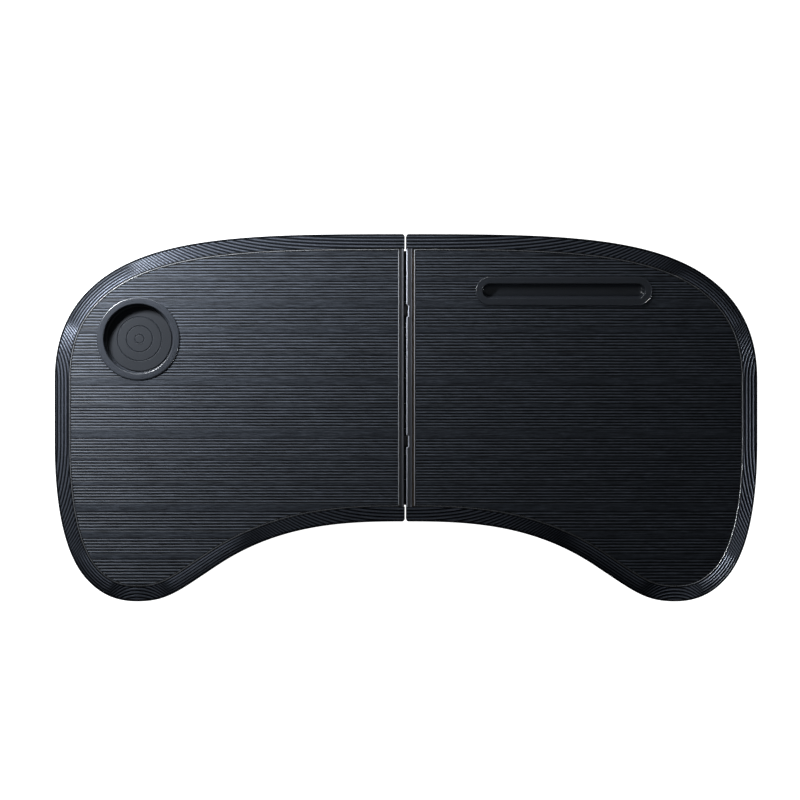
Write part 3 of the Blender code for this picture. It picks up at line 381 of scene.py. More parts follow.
# The beads' pale colours also paint in the highlight along the panel's edges and the fold; their grooves
# paint the shade at their feet.
EDGE_TRIM = finish(
    "bright panel bead", SPECKLE, (0.095, 0.100, 0.108), (0.125, 0.130, 0.140),
    900, (0.24, 0.32), 0.000001, grooves=(0.05, 1.0), Specular_IOR_Level=0.8,
)
FOLD_TRIM = finish(
    "bright fold bead", SPECKLE, (0.31, 0.32, 0.34), (0.40, 0.41, 0.43),
    900, (0.30, 0.40), 0.000001, grooves=(0.05, 1.0), Specular_IOR_Level=0.5,
)
RUBBER = finish(
    "matt black rubber", SPECKLE, (0.010, 0.010, 0.011), (0.020, 0.020, 0.022),
    1500, (0.75, 0.92), 0.00003, 0.6,
)
MAT = finish(
    "ringed rubber mat", SPECKLE, (0.0115, 0.0139, 0.0180), (0.0172, 0.0202, 0.0257),
    1300, (0.55, 0.70), 0.00002, Specular_IOR_Level=0.3,
)
NYLON = finish(
    "black nylon", SPECKLE, (0.005, 0.005, 0.006), (0.010, 0.010, 0.011),
    1100, (0.50, 0.65), 0.00002, Specular_IOR_Level=0.25,
)
# The strip's grooves paint highlights where the relief is raised: the right chamfer, the left step and the
# right groove.
SPINE_METAL = finish(
    "brushed grey strip", GRAIN_Y, (0.090, 0.093, 0.103), (0.140, 0.143, 0.156),
    1600, (0.60, 0.70), 0.000004, 1.0, grooves=(0.95, 5.4), Metallic=1.0,
)
LEG_METAL = finish(
    "dark anodised tube", GRAIN_X, (0.050, 0.051, 0.056), (0.085, 0.086, 0.092),
    1600, (0.26, 0.40), 0.000006, Metallic=0.9,
)
HINGE_PAINT = finish(
    "black painted steel", SPECKLE, (0.006, 0.006, 0.007), (0.012, 0.012, 0.013),
    900, (0.50, 0.65), 0.00001, Specular_IOR_Level=0.25,
)
STEEL = finish(
    "plated steel", GRAIN_Y, (0.38, 0.38, 0.39), (0.56, 0.56, 0.57),
    1400, (0.22, 0.38), 0.00001, Metallic=1.0,
)
BOARD = finish(
    "raw fibreboard", GRAIN_X, (0.13, 0.090, 0.055), (0.24, 0.175, 0.115),
    520, (0.72, 0.90), 0.00008, 0.6,
)
print("finishes:", len(bpy.data.materials))

# %% [markdown]
# ## The edge moulding
# Each leaf has a bevelled plastic moulding with fine ribs. They are level at the back and
# the arch, upright at the ends, and turn to lines along the edge at the corners. The
# section is carried along the outline. A rib is a wave whose phase is the distance in
# from the edge, less a straight ramp where it is level or upright: this fans it out.

# %% Section of the moulding
GAP_X = {"left": -0.0019, "right": -0.0001}
RIM_END_X = {"left": -0.0012, "right": -0.0001}
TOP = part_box("left_deck_panel")[1].z
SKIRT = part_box("left_rim")[0].z
RIM_TOP, RIM_LOW, RIM_WIDTH = TOP - 0.0003, TOP - 0.0045, 0.0146
OUTER_EDGE_Z, ROOF, LIP, CORNER = RIM_LOW - 0.0008, 0.0236, 0.0005, 0.003
EDGE_ROUND, BEVEL_FOOT, BEVEL_START = 0.0005, 0.0008, 0.0017
RIB_STEPS, RIB_SLOPE = 50, 0.80
TRUE_PITCH, CORNER_PITCH, SAMPLE = 0.0014025, 0.0027, 0.000996
FADE_IN, FADE_OUT = (0.0015, 0.0026), (RIM_WIDTH + LIP, RIM_WIDTH - 0.0007)
TURN_RANGE, SLANT_RANGE = (0.87, 0.93), (0.89, 0.975)
# Painted shade and highlight on the ribs: dimmed where the edge runs slanted, and at the corners dark at
# the outer side and lighter inwards.
SLANT_PAINTED_SHADE, EDGE_RELIEF = 0.42, 0.25
CORNER_OUTER_PAINTED_SHADE, CORNER_INWARD_PAINTED_LIGHT = 0.20, 1.6
LEDGE_LOW, LEDGE_TOP, LEDGE_REACH = 0.0199, 0.0219, 0.004
CHANNEL_TOP, CHANNEL_EDGE, SKIRT_WALL = 0.0235, RIM_WIDTH - 0.0025, 0.003
LEDGE_START, BRACKET_MARGIN, SPINE_MARGIN = 0.012, 0.003, 0.0008
BOSS_BORE, BOSS_RADIUS, BOSS_LOW, BOSS_TOP = 0.0025, 0.0055, 0.0115, 0.0238

outer_edge = np.concatenate([
    [(0.0, ROOF), (0.0, RIM_LOW - 0.0010)],
    arc((EDGE_ROUND, OUTER_EDGE_Z), EDGE_ROUND, 170, 60, 6),
    [(0.0011, RIM_LOW - 0.0009), (0.0013, RIM_LOW - 0.0011), (0.0015, OUTER_EDGE_Z)],
])
ribbed = np.linspace(BEVEL_START, RIM_WIDTH + LIP - 0.0002, RIB_STEPS)
rise = (RIM_TOP - RIM_LOW) / (RIM_WIDTH - BEVEL_FOOT)
bevel = np.stack([ribbed, RIM_LOW + (ribbed - BEVEL_FOOT) * rise], 1)
inner_edge = [
    (RIM_WIDTH + LIP, RIM_TOP - 0.0003), (RIM_WIDTH + LIP, 0.0286), (RIM_WIDTH, 0.0284), (RIM_WIDTH, ROOF)
]
CROWN = np.concatenate([outer_edge, bevel, inner_edge])
BEVEL = slice(len(outer_edge), len(outer_edge) + RIB_STEPS)
SKIRT_SECTION = np.array([
    (0.0005, SKIRT), (0.0001, SKIRT + 0.0001), (0.0, SKIRT + 0.0005), (0.0, 0.0120), (0.0, ROOF),
    (RIM_WIDTH, ROOF), (RIM_WIDTH, LEDGE_TOP), (RIM_WIDTH + LEDGE_REACH, LEDGE_TOP),
    (RIM_WIDTH + LEDGE_REACH, LEDGE_LOW), (CHANNEL_EDGE, LEDGE_LOW), (CHANNEL_EDGE, CHANNEL_TOP),
    (SKIRT_WALL, CHANNEL_TOP), (SKIRT_WALL, SKIRT),
])
LEDGE = slice(6, 9)


def smooth_step(low, high, value):
    """3t^2 - 2t^3 with t the value's share of the way from low to high."""
    t = np.clip((value - low) / (high - low), 0, 1)
    return t * t * (3 - 2 * t)


def rib_heights(points, normals, inward):
    """Sum of three waves of equal slope, and the relief, their shares of a crest. Their phases
    are the inset over the pitch, plus y or x over the sampling step where the ribs are level
    or upright. The edge's heading says which of the waves shows."""
    across, along = points[..., 0] / SAMPLE, points[..., 1] / SAMPLE
    nx, ny = normals[:, None, 0], normals[:, None, 1]
    level = smooth_step(*TURN_RANGE, np.abs(ny)) + 0 * across
    upright = smooth_step(*TURN_RANGE, np.abs(nx)) + 0 * across
    plain = np.clip(1 - level - upright, 0, 1)
    total = relief = 0.0
    for weight, pitch, kx, ky in (
        (level, TRUE_PITCH, 0.0, np.sign(ny)),
        (upright, TRUE_PITCH, np.sign(nx), 0.0),
        (plain, CORNER_PITCH, 0.0, 0.0),
    ):
        phase = inward / pitch + kx * across + ky * along
        rate = np.hypot(-nx / pitch + kx / SAMPLE, -ny / pitch + ky / SAMPLE)
        wave = np.cos(2 * math.pi * phase)
        total = total + weight * RIB_SLOPE / (2 * math.pi * rate) * wave
        relief = relief + weight * (0.5 + 0.5 * wave)
    # Painted shade and highlight by the edge's heading and the inset: dimmer where the edge runs slanted,
    # darker at the corners' outer side and lighter inwards.
    slant_paint = SLANT_PAINTED_SHADE + (1 - SLANT_PAINTED_SHADE) * smooth_step(*SLANT_RANGE, np.abs(ny))
    corner_paint = CORNER_OUTER_PAINTED_SHADE + CORNER_INWARD_PAINTED_LIGHT * inward / RIM_WIDTH
    relief = relief * (upright + level * slant_paint + plain * corner_paint)
    fade = smooth_step(*FADE_IN, inward) * smooth_step(*FADE_OUT, inward)
    return total * fade, relief * fade


# %% Sweep the moulding round each leaf
def rounded_insets(section, points, end_x):
    """Insets that give the leaf's corners at the fold a radius in plan."""
    from_gap = np.abs(points[:, 0] - end_x)
    cut = CORNER - np.sqrt(np.clip(CORNER**2 - np.clip(CORNER - from_gap, 0, None) ** 2, 0, None))
    return np.maximum(section[None, :, 0], cut[:, None])


def swept_grid(section, points, normals, end_x, inset):
    """The section's points, inset from the edge along its normal, each at its height."""
    height = np.repeat(section[None, :, 1], len(points), 0)
    place = points[:, None] - inset[..., None] * normals[:, None]
    place[0, :, 0] = place[-1, :, 0] = end_x
    return np.concatenate([place, height[..., None]], axis=2)


def crown_parts(side):
    """The visible bevel with its ribs, and their relief."""
    end_x = RIM_END_X[side]
    points, normals = leaf_edge(side, end_x)
    inset = rounded_insets(CROWN, points, end_x)
    grid = swept_grid(CROWN, points, normals, end_x, inset)
    relief = np.full(inset.shape, EDGE_RELIEF)
    ribs, relief[:, BEVEL] = rib_heights(grid[:, BEVEL, :2], normals, inset[:, BEVEL])
    grid[:, BEVEL, 2] += ribs
    return tube_parts(grid), relief


def skirt_parts(side):
    """The wall under the crown, its ledge left out at the spine and the leg bracket."""
    end_x = RIM_END_X[side]
    points, normals = leaf_edge(side, end_x, COARSE_EDGE)
    inset = rounded_insets(SKIRT_SECTION, points, end_x)
    low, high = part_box(f"{side}_back_leg_bracket")
    spine_low, spine_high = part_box(f"{side}_spine")
    near = np.abs(points[:, 0]) < max(abs(spine_low.x), abs(spine_high.x)) + SPINE_MARGIN
    for inward in (LEDGE_START, RIM_WIDTH + LEDGE_REACH):
        x, y = (points - inward * normals).T
        near |= (
            (x > low.x - BRACKET_MARGIN) & (x < high.x + BRACKET_MARGIN)
            & (y > low.y - BRACKET_MARGIN) & (y < high.y + BRACKET_MARGIN)
        )
    inset[near, LEDGE] = RIM_WIDTH
    return tube_parts(swept_grid(SKIRT_SECTION, points, normals, end_x, inset))


def boss_parts(side, end):
    """A plain turned boss that the bumper's stem sits in."""
    (x, y, _), _, _ = middle_of(f"{side}_{end}_bumper")
    profile = [
        (BOSS_BORE, SKIRT), (BOSS_RADIUS, SKIRT), (BOSS_RADIUS, BOSS_TOP), (0.0, BOSS_TOP),
        (0.0, BOSS_LOW), (BOSS_BORE, BOSS_LOW), (BOSS_BORE, SKIRT),
    ]
    return turned_parts(profile, (x, y, 0.0), 32)


for side in SIDES:
    crown_grid, crown_relief = crown_parts(side)
    crown = piece(f"{side}_ribbed_moulding", [crown_grid], 50, [crown_relief])
    dress(crown, f"{side}_leaf", MOULDING, "rim", f"{side}_rim")
    skirt_grids = [skirt_parts(side), boss_parts(side, "back"), boss_parts(side, "front")]
    flat_relief = [np.full(np.size(points) // 3, EDGE_RELIEF) for points, _ in skirt_grids]
    skirt = piece(f"{side}_skirt", skirt_grids, 50, flat_relief)
    dress(skirt, f"{side}_leaf", MOULDING, "rim", f"{side}_rim")

# %% [markdown]
# ## The deck panels
# The laminate has straight ribs along X, in groups of five to eight with quieter bands
# between. The height is a wave in Y whose crests fall on the rows that the photograph
# shows. A panel is cut into blocks of rows, each from one edge to the other, so that the
# cup's hole and the slot's hole lie between two blocks.

# %% Height of the ribs across the panel
LENS, SENSOR = 100.0, 36.0
PICTURE_WIDTH, MIDDLE_ROW = 800, 399.0
CAMERA_REACH = PICTURE_WIDTH * SAMPLE * LENS / SENSOR
CAMERA_PLACE = (-0.005976, 0.01763, OUTER_EDGE_Z + CAMERA_REACH)
# Each group of ribs: its first and its last row in the picture, and how many ribs it has.
RIB_GROUPS = [
    (256.5, 274.0, 7), (282.0, 296.0, 6), (309.0, 324.0, 6), (334.0, 349.0, 6), (356.0, 373.5, 7),
    (386.0, 401.0, 6), (408.5, 426.0, 7), (439.0, 454.0, 6), (461.0, 478.5, 7), (486.0, 500.5, 6),
    (512.5, 528.0, 6), (539.0, 551.0, 5), (560.0, 582.0, 8),
]
RIB_DEPTH, BAND_DEPTH, BAND_PITCH, SINK = 0.00060, 0.00014, 1.47, 0.00006
GROUP_EDGE = 0.3
# The relief's painted shade and highlights: how narrow the crests are, the bands' least and spread, and the
# most; GRAIN_RELIEF below adds the grain's own colour.
RIB_NARROWING, BAND_LEAST, BAND_SPREAD, MOST_RELIEF = 1.5, 0.25, 0.30, 1.6
GRAIN_HEIGHT, GRAIN_RELIEF = 0.000045, 0.16
GRAIN_CORNER, GRAIN_CELL = (-0.360, -0.190), (0.0118, 0.00042)
GRAIN_TABLE = np.random.default_rng(11).normal(size=(64, 900))


def rows_of(y):
    """The photograph's row of a place on the panel, which stands nearer than the rim's edge."""
    return MIDDLE_ROW - (y - CAMERA_PLACE[1]) / (SAMPLE * (1 - (TOP - OUTER_EDGE_Z) / CAMERA_REACH))


def grain_at(x, y):
    """A table of random numbers read with straight-line blending, long in X, short in Y."""
    table = GRAIN_TABLE
    row, column = (
        np.clip((place - start) / cell, 0, count - 3)
        for place, start, cell, count in zip((x, y), GRAIN_CORNER, GRAIN_CELL, table.shape)
    )
    i, j = row.astype(int), column.astype(int)
    s, t = row - i, column - j
    return (
        table[i, j] * (1 - s) * (1 - t) + table[i + 1, j] * s * (1 - t)
        + table[i, j + 1] * (1 - s) * t + table[i + 1, j + 1] * s * t
    )


def panel_surface(x, y):
    """Height: the top less a cosine groove between crests; bands have a finer, shallower wave.
    Relief: the same waves as shares of a crest, which the finish turns into painted shade in the grooves
    and painted highlights on the crests, with some of the grain added."""
    row = rows_of(y)
    inside, phase = np.zeros_like(row), np.zeros_like(row)
    for start, end, count in RIB_GROUPS:
        pitch = (end - start) / (count - 1)
        share = smooth_step(start - pitch, start - GROUP_EDGE * pitch, row)
        share *= smooth_step(end + pitch, end + GROUP_EDGE * pitch, row)
        phase = np.where(share > 0, (row - start) / pitch, phase)
        inside = np.maximum(inside, share)
    ribs = 0.5 + 0.5 * np.cos(2 * math.pi * phase)
    bands = 0.5 + 0.5 * np.cos(2 * math.pi * row / BAND_PITCH)
    grain = grain_at(x, y)
    depth = inside * RIB_DEPTH * (1 - ribs) + (1 - inside) * BAND_DEPTH * (1 - bands)
    relief = inside * ribs**RIB_NARROWING + (1 - inside) * (BAND_LEAST + BAND_SPREAD * bands)
    relief = relief + GRAIN_RELIEF * grain
    return TOP - depth + GRAIN_HEIGHT * grain - SINK, np.clip(relief, 0, MOST_RELIEF)


# %% The bead round the panel and the blocks between its edges
BEAD_INSET, BEAD_HALF, TUCK = 0.01585, 0.00045, 0.0003
PANEL_FOOT, ROW_PITCH = TOP - 0.0019, 0.00036
STRIP = {"left": 0.0038, "right": 0.0062}
STRIP_TO_BEAD = {"left": 0.0012, "right": 0.0019}
HOLE_NODE = {"left": "cup_insert", "right": "pen_slot_insert"}
HOLE_RADIUS = {"left": 0.0386, "right": 0.0108}
HOLE_STRAIGHT = {"left": 0.0, "right": 0.0807 - 0.00725}


def panel_edge(side):
    """The line in the middle of the bead: the outline moved in, closed along the fold."""
    end_x = GAP_X[side] + SIDES[side] * (STRIP[side] + STRIP_TO_BEAD[side] + BEAD_HALF)
    points, normals = leaf_edge(side, end_x)
    inner = points - BEAD_INSET * normals
    inner[0, 0] = inner[-1, 0] = end_x
    return inner, normals, end_x


def block(y_low, y_high, left, right, columns):
    """A closed slab: x runs from left(y) to right(y), with the ribbed height on top."""
    rows = max(int((y_high - y_low) / ROW_PITCH), 4)
    y = np.linspace(y_low, y_high, rows)
    share = np.linspace(0, 1, columns)
    x = left(y)[:, None] + share * (right(y) - left(y))[:, None]
    y = np.repeat(y[:, None], columns, 1)
    height, relief = panel_surface(x, y)
    top = np.stack([x, y, height], axis=2)
    foot = top[:, [0, -1]].copy()
    foot[..., 2] = PANEL_FOOT
    faces = grid_faces(rows, columns)
    base, i = rows * columns, np.arange(rows - 1)
    start, end = i * columns, i * columns + columns - 1
    low, high = base + 2 * i, base + 2 * i + 2
    for cells in (
        (low, high, high + 1, low + 1), (start, start + columns, high, low),
        (end, end + columns, high + 1, low + 1),
    ):
        faces += np.stack(cells, 1).tolist()
    faces.append([*range(columns), base + 1, base])
    faces.append([*range(base - columns, base), base + 2 * rows - 1, base + 2 * rows - 2])
    # The side walls take relief 0, the darkest painted groove shade.
    relief = np.concatenate([relief.ravel(), np.zeros(2 * rows)])
    return np.concatenate([top.reshape(-1, 3), foot.reshape(-1, 3)]), faces, relief


def panel_blocks(side):
    """One block before the hole, one behind it and one at each end of it."""
    bead_line, normals, fold_x = panel_edge(side)
    inner, end_x = bead_line - TUCK * normals, fold_x + SIDES[side] * TUCK
    foot = int(np.argmin(inner[:, 1]))

    def edge_at(y, branch):
        return np.interp(y, np.maximum.accumulate(branch[:, 1]), branch[:, 0])

    def outer(y):
        return edge_at(y, inner[foot::-1])

    def inward(y):
        return np.where(y > inner[-1, 1], end_x, edge_at(y, inner[foot:]))

    middle, _, _ = middle_of(HOLE_NODE[side])
    reach = HOLE_RADIUS[side]

    def hole(sign):
        def edge(y):
            half_chord = np.sqrt(np.clip(reach**2 - (y - middle[1]) ** 2, 0, None))
            return middle[0] + sign * (HOLE_STRAIGHT[side] + half_chord)
        return edge

    y_top, y_foot = inner[:, 1].max(), inner[:, 1].min()
    near, far = middle[1] - reach, middle[1] + reach
    return [
        block(y_foot, near, inward, outer, 56),
        block(far, y_top, inward, outer, 56),
        block(near, far, inward, hole(-SIDES[side]), 40),
        block(near, far, hole(SIDES[side]), outer, 24),
    ]


# Relief 0 paints near-black shade: the flat foot over the panel and the bead's outer flank.
BEAD_SECTION = np.array([
    (-0.00120, PANEL_FOOT, 0), (-0.00120, TOP + 0.00002, 0), (-0.00046, TOP + 0.00002, 0),
    (-BEAD_HALF, TOP + 0.00008, 1), (-0.00030, TOP + 0.00014, 1), (-0.00018, TOP + 0.00012, 1),
    (0.00030, TOP - 0.00010, 1), (0.00043, TOP - 0.00030, 1), (BEAD_HALF, TOP - 0.00070, 0),
    (0.00042, PANEL_FOOT, 0),
])


def bead_parts(side):
    """A bead carried round the panel's edge and a straight one along the fold. The section's
    points are (place across, height, relief): a foot over the panel painted dark as shade, then the bead,
    its outer flank painted dark as shade too."""
    inner, normals, end_x = panel_edge(side)
    beads = []
    along = np.linspace(inner[-1, 1], inner[0, 1], 60)
    fold = np.stack([np.full_like(along, end_x), along], 1)
    for path, away in ((inner, normals), (fold, np.repeat([[-1.0, 0.0]], len(along), 0))):
        place = path[:, None] + BEAD_SECTION[None, :, :1] * away[:, None]
        height, relief = np.repeat(BEAD_SECTION[None, :, 1:], len(path), 0).transpose(2, 0, 1)
        beads.append((tube_parts(np.concatenate([place, height[..., None]], axis=2)), relief))
    return beads


for side in SIDES:
    blocks = panel_blocks(side)
    panel = piece(f"{side}_ribbed_panel", [b[:2] for b in blocks], 60, [b[2] for b in blocks])
    dress(panel, f"{side}_leaf", LAMINATE, "panel", f"{side}_deck_panel")
    for (part, relief), trim, name in zip(bead_parts(side), (EDGE_TRIM, FOLD_TRIM), ("panel", "fold")):
        dress(piece(f"{side}_{name}_bead", [part], 40, [relief]), f"{side}_leaf", trim, "panel")

# %% [markdown]
# ## The metal strips along the fold
# Both leaves end in an aluminium spine. Its top shows as a strip: the left one steps down
# from the gap, and the right one has a chamfer there, painted bright as a highlight, and a fine
# groove. Lighter lines are painted as highlights at the left step and along the right groove.
# Where a nylon lug sets the gap, the right strip steps back round it. The section is carried
# along Y, and the step back is a smooth function of Y, added to the points near the gap.

# %% Spines
LUG_ROWS, LUG_REACH, LUG_MARGIN = (0.10625, -0.02325), 0.0066, 0.0003
SPINE_WALL, SPINE_SHOULDER, STRIP_DROP = 0.002, 0.0285, 0.00012


def spine_parts(side):
    """Section points (distance from the gap, height, relief): relief 1 paints a highlight on the chamfer,
    and 0.15 and 0.3 paint lighter lines at the left step and along the right groove.
    """
    low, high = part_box(f"{side}_spine")
    wide, flange = STRIP[side], high.x - low.x
    z_low, z_top = low.z, TOP - STRIP_DROP
    if side == "left":
        shown = [
            (0.0, z_top - 0.0002, 0), (0.0003, z_top, 0), (0.0012, z_top, 0.15),
            (0.0018, z_top - 0.0003, 0.15), (0.0019, z_top - 0.0003, 0),
            (wide - 0.0002, z_top - 0.0003, 0), (wide, z_top - 0.0006, 0),
        ]
    else:
        shown = [
            (0.0005, z_top - 0.0006, 1), (0.0014, z_top - 0.00003, 1), (0.0015, z_top, 0),
            (0.0034, z_top, 0), (wide - 0.0009, z_top, 0.3), (wide - 0.0006, z_top - 0.0002, 0.3),
            (wide - 0.0003, z_top, 0.3), (wide - 0.0001, z_top - 0.0001, 0), (wide, z_top - 0.0004, 0),
        ]
    profile = np.array([
        (0.0, z_low, 0), (0.0, 0.0240, 0), (0.0, 0.0246, 0), (shown[0][0], shown[0][1] - 0.0002, 0),
        *shown, (wide, SPINE_SHOULDER, 0), (SPINE_WALL, SPINE_SHOULDER, 0),
        (SPINE_WALL, z_low + SPINE_WALL, 0), (flange, z_low + SPINE_WALL, 0), (flange, z_low, 0),
    ])
    y = np.unique(np.concatenate([np.linspace(low.y, high.y, 90), *[
        np.linspace(row - LUG_REACH, row + LUG_REACH, 34) for row in LUG_ROWS
    ]]))
    step_back = np.zeros_like(y)
    if side == "right":
        for end in ENDS:
            lug_low, lug_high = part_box(f"{end}_gap_lug")
            half = (lug_high.y - lug_low.y) / 2 + LUG_MARGIN
            away = np.abs(y - (lug_low.y + lug_high.y) / 2)
            reach = lug_high.x + LUG_MARGIN - GAP_X["right"]
            step_back += reach * smooth_step(half + 0.0011, half, away)
    share = smooth_step(0.0040, 0.0014, profile[:, 0]) * (profile[:, 1] > 0.0243)
    x = GAP_X[side] + SIDES[side] * (profile[:, 0] + step_back[:, None] * share)
    z, relief = np.repeat(profile[None, :, 1:], len(y), 0).transpose(2, 0, 1)
    grid = np.stack([x, np.repeat(y[:, None], len(profile), 1), z], axis=2)
    return tube_parts(grid), relief


for side in SIDES:
    spine_grid, spine_relief = spine_parts(side)
    spine = piece(f"{side}_fold_strip", [spine_grid], 35, [spine_relief])
    dress(spine, f"{side}_leaf", SPINE_METAL, "spine", f"{side}_spine")


# %% [markdown]
# The lugs are small moulded blocks with soft corners. A rounded box is a sphere's surface
# whose eight octants are pushed apart: sign(n) (half - r) + r n for each direction n.

# %% Gap lugs
def rounded_box_parts(low, high, radius, steps=6):
    """p = middle + sign(n)(half - r) + r n, n over the sphere, with both signs at zero."""
    low, high = np.array(low), np.array(high)
    middle, half = (low + high) / 2, (high - low) / 2
    polar, around = (
        np.radians(np.concatenate([np.linspace(start, start + 90, steps) for start in starts]))
        for starts in ((-90, 0), (0, 90, 180, 270))
    )
    sx, sy, sz = (np.repeat(s, steps) for s in ((1, -1, -1, 1), (1, 1, -1, -1), (-1, 1)))
    signs = np.stack(np.broadcast_arrays(sx, sy, sz[:, None]), 2)
    polar = polar[:, None]
    flat = np.cos(polar)
    n = np.stack([flat * np.cos(around), flat * np.sin(around), np.sin(polar) + 0 * around], 2)
    return tube_parts(middle + signs * (half - radius) + radius * n)


LUG_ROUND, STEM_RADIUS, STEM_OVERLAP = 0.0006, 0.0015, 0.0005
lug_face = GAP_X["left"] + LUG_MARGIN
for end in ENDS:
    (_, y, z), low, high = middle_of(f"{end}_gap_lug")
    stem_end = lug_face + STEM_OVERLAP
    stem = turned_parts(
        [(0.0, low.x), (STEM_RADIUS, low.x), (STEM_RADIUS, stem_end), (0.0, stem_end)], (0.0, y, z), 24, "X"
    )
    block_parts = rounded_box_parts((lug_face, low.y, low.z), high, LUG_ROUND)
    lug = piece(f"{end}_gap_block", [block_parts, stem], 50)
    dress(lug, "left_leaf", NYLON, "nylon", f"{end}_gap_lug")

# %% [markdown]
# ## The cup recess and its mat
# Both are turned shapes: a section spun about an upright line. The flange has soft
# edges, the wall meets the floor in a fillet, and the mat has three fine ring grooves.

# %% Cup insert and mat
CUP_FILLET, CUP_BORE, CUP_LIP, CUP_OUTER = 0.0022, 0.0345, 0.0012, 0.0014
CUP_WALL, CUP_HEEL, SEAT = 0.0363, 0.001, TOP + 0.0001
MAT_RADIUS, MAT_CHAMFER = 0.0322, 0.0004
RING_RADII, RING_DEPTH, RING_WIDTH = (0.0045, 0.013, 0.022), 0.00055, 0.00032
CUP, cup_low, cup_high = middle_of("cup_insert")
CUP[2] = 0.0
_, mat_low, mat_high = middle_of("cup_mat")
cup_floor, cup_top = mat_low.z - 0.0003, cup_high.z
cup_section = np.concatenate([
    [(0.0, cup_floor), (MAT_RADIUS, cup_floor)],
    arc((MAT_RADIUS, cup_floor + CUP_FILLET), CUP_FILLET, -80, 0, 8),
    [(CUP_BORE, cup_floor + 0.0030), (CUP_BORE, cup_top - 0.0016)],
    arc((CUP_BORE + CUP_LIP, cup_top - CUP_LIP), CUP_LIP, 180, 90, 8),
    [(0.0380, cup_top)],
    arc((0.0398, cup_top - CUP_OUTER), CUP_OUTER, 90, 0, 10),
    [(0.0412, SEAT), (CUP_WALL, SEAT), (CUP_WALL, cup_low.z + CUP_HEEL)],
    arc((CUP_WALL - CUP_HEEL, cup_low.z + CUP_HEEL), CUP_HEEL, 0, -90, 6),
    [(0.0, cup_low.z)],
])
cup = piece("cup_recess", [turned_parts(cup_section, CUP, 160)], 35)
dress(cup, "left_leaf", INSERT, "insert", "cup_insert")

radii = np.linspace(0.0, MAT_RADIUS - MAT_CHAMFER, 160)
grooves = sum(RING_DEPTH * np.exp(-(((radii - ring) / RING_WIDTH) ** 2)) for ring in RING_RADII)
mat_section = np.concatenate([
    np.stack([radii, mat_high.z - grooves], 1),
    [(MAT_RADIUS, mat_high.z - MAT_CHAMFER), (MAT_RADIUS, mat_low.z), (0.0, mat_low.z)],
])
mat = piece("ringed_mat", [turned_parts(mat_section, CUP, 128)], 50)
dress(mat, "left_leaf", MAT, "rubber", "cup_mat")

# %% [markdown]
# ## The pen slot
# The slot's section is carried round a line between two points, so its ends are half
# turns. Inside it is a smooth scoop, a quarter of an ellipse, under a short wall.

# %% Pen slot insert
SCOOP_HALF, SCOOP_DEPTH, SLOT_LIP, SLOT_OUTER = 0.0070, 0.0066, 0.0009, 0.0012
SLOT_WALL, SLOT_FLANGE = 0.00905, 0.01305
SLOT, slot_low, slot_high = middle_of("pen_slot_insert")
half_run = (slot_high.x - slot_low.x) / 2 - (slot_high.y - slot_low.y) / 2
slot_floor, slot_top = slot_low.z + 0.0018, slot_high.z
share = np.linspace(0, math.pi / 2, 22)
slot_section = np.concatenate([
    np.stack([SCOOP_HALF * np.sin(share), slot_floor + SCOOP_DEPTH * (1 - np.cos(share))], 1),
    [(0.0071, slot_top - SLOT_OUTER)],
    arc((0.0081, slot_top - SLOT_LIP), SLOT_LIP, 180, 90, 8),
    [(0.0105, slot_top)],
    arc((SLOT_FLANGE, slot_top - SLOT_OUTER), SLOT_OUTER, 90, 0, 10),
    [(SLOT_FLANGE + SLOT_OUTER, SEAT), (SLOT_WALL, SEAT), (SLOT_WALL, slot_low.z), (0.0, slot_low.z)],
])


def stadium_parts(section, middle, run, steps=40):
    """Section point (r, z) stands r out from a straight line, with half turns at its ends."""
    a = np.radians(np.concatenate([np.linspace(-90, 90, steps), np.linspace(90, 270, steps)]))
    base = np.repeat([run, -run], steps)
    r, z = section[:, :1], section[:, 1:]
    x = middle[0] + base + r * np.cos(a)
    y = middle[1] + r * np.sin(a)
    return np.stack([x, y, z + 0 * a], 2), grid_faces(len(section), len(a), closed=True)


slot_piece = piece("pen_slot", [stadium_parts(slot_section, SLOT, half_run)], 35)
dress(slot_piece, "right_leaf", INSERT, "insert", "pen_slot_insert")

# %% [markdown]
# ## Legs, feet and fittings underneath
# A leg frame is a bent tube: a circle carried along a path of straights and quarter
# turns. The feet, bumpers, posts, pins and screws are all turned shapes.

# %% Leg frames
TUBE_RADIUS, BEND = 0.006, 0.025
ARM_STEPS, BEND_STEPS, BAR_STEPS = 24, 16, 20
EYE_BORE, EYE_RADIUS, EYE_CHAMFER = 0.0023, 0.0063, 0.0005
SLEEVE_BORE, SLEEVE_END, SLEEVE_RADIUS, SLEEVE_MARGIN = 0.0062, 0.0074, 0.0080, 0.0012
GRIP_DEPTH, GRIP_PITCH = 0.00045, 0.0032


def bent_tube_parts(path, radius, steps=28):
    """A circle in the plane of the path's normal and Z, since the path stays level."""
    way = np.gradient(path, axis=0)
    way /= np.linalg.norm(way, axis=1)[:, None]
    side_way = np.stack([way[:, 1], -way[:, 0], 0 * way[:, 0]], 1)[:, None]
    a = np.linspace(0, 2 * math.pi, steps, endpoint=False)[None, :, None]
    upright = np.array([0.0, 0.0, 1.0])
    return tube_parts(path[:, None] + radius * np.cos(a) * side_way + radius * np.sin(a) * upright)


def ring_profile(bore, radius, low, high, chamfer):
    """Half of a tube's section, its two outer edges chamfered, back to where it starts."""
    return [
        (bore, low), (radius - chamfer, low), (radius, low + chamfer), (radius, high - chamfer),
        (radius - chamfer, high), (bore, high), (bore, low),
    ]


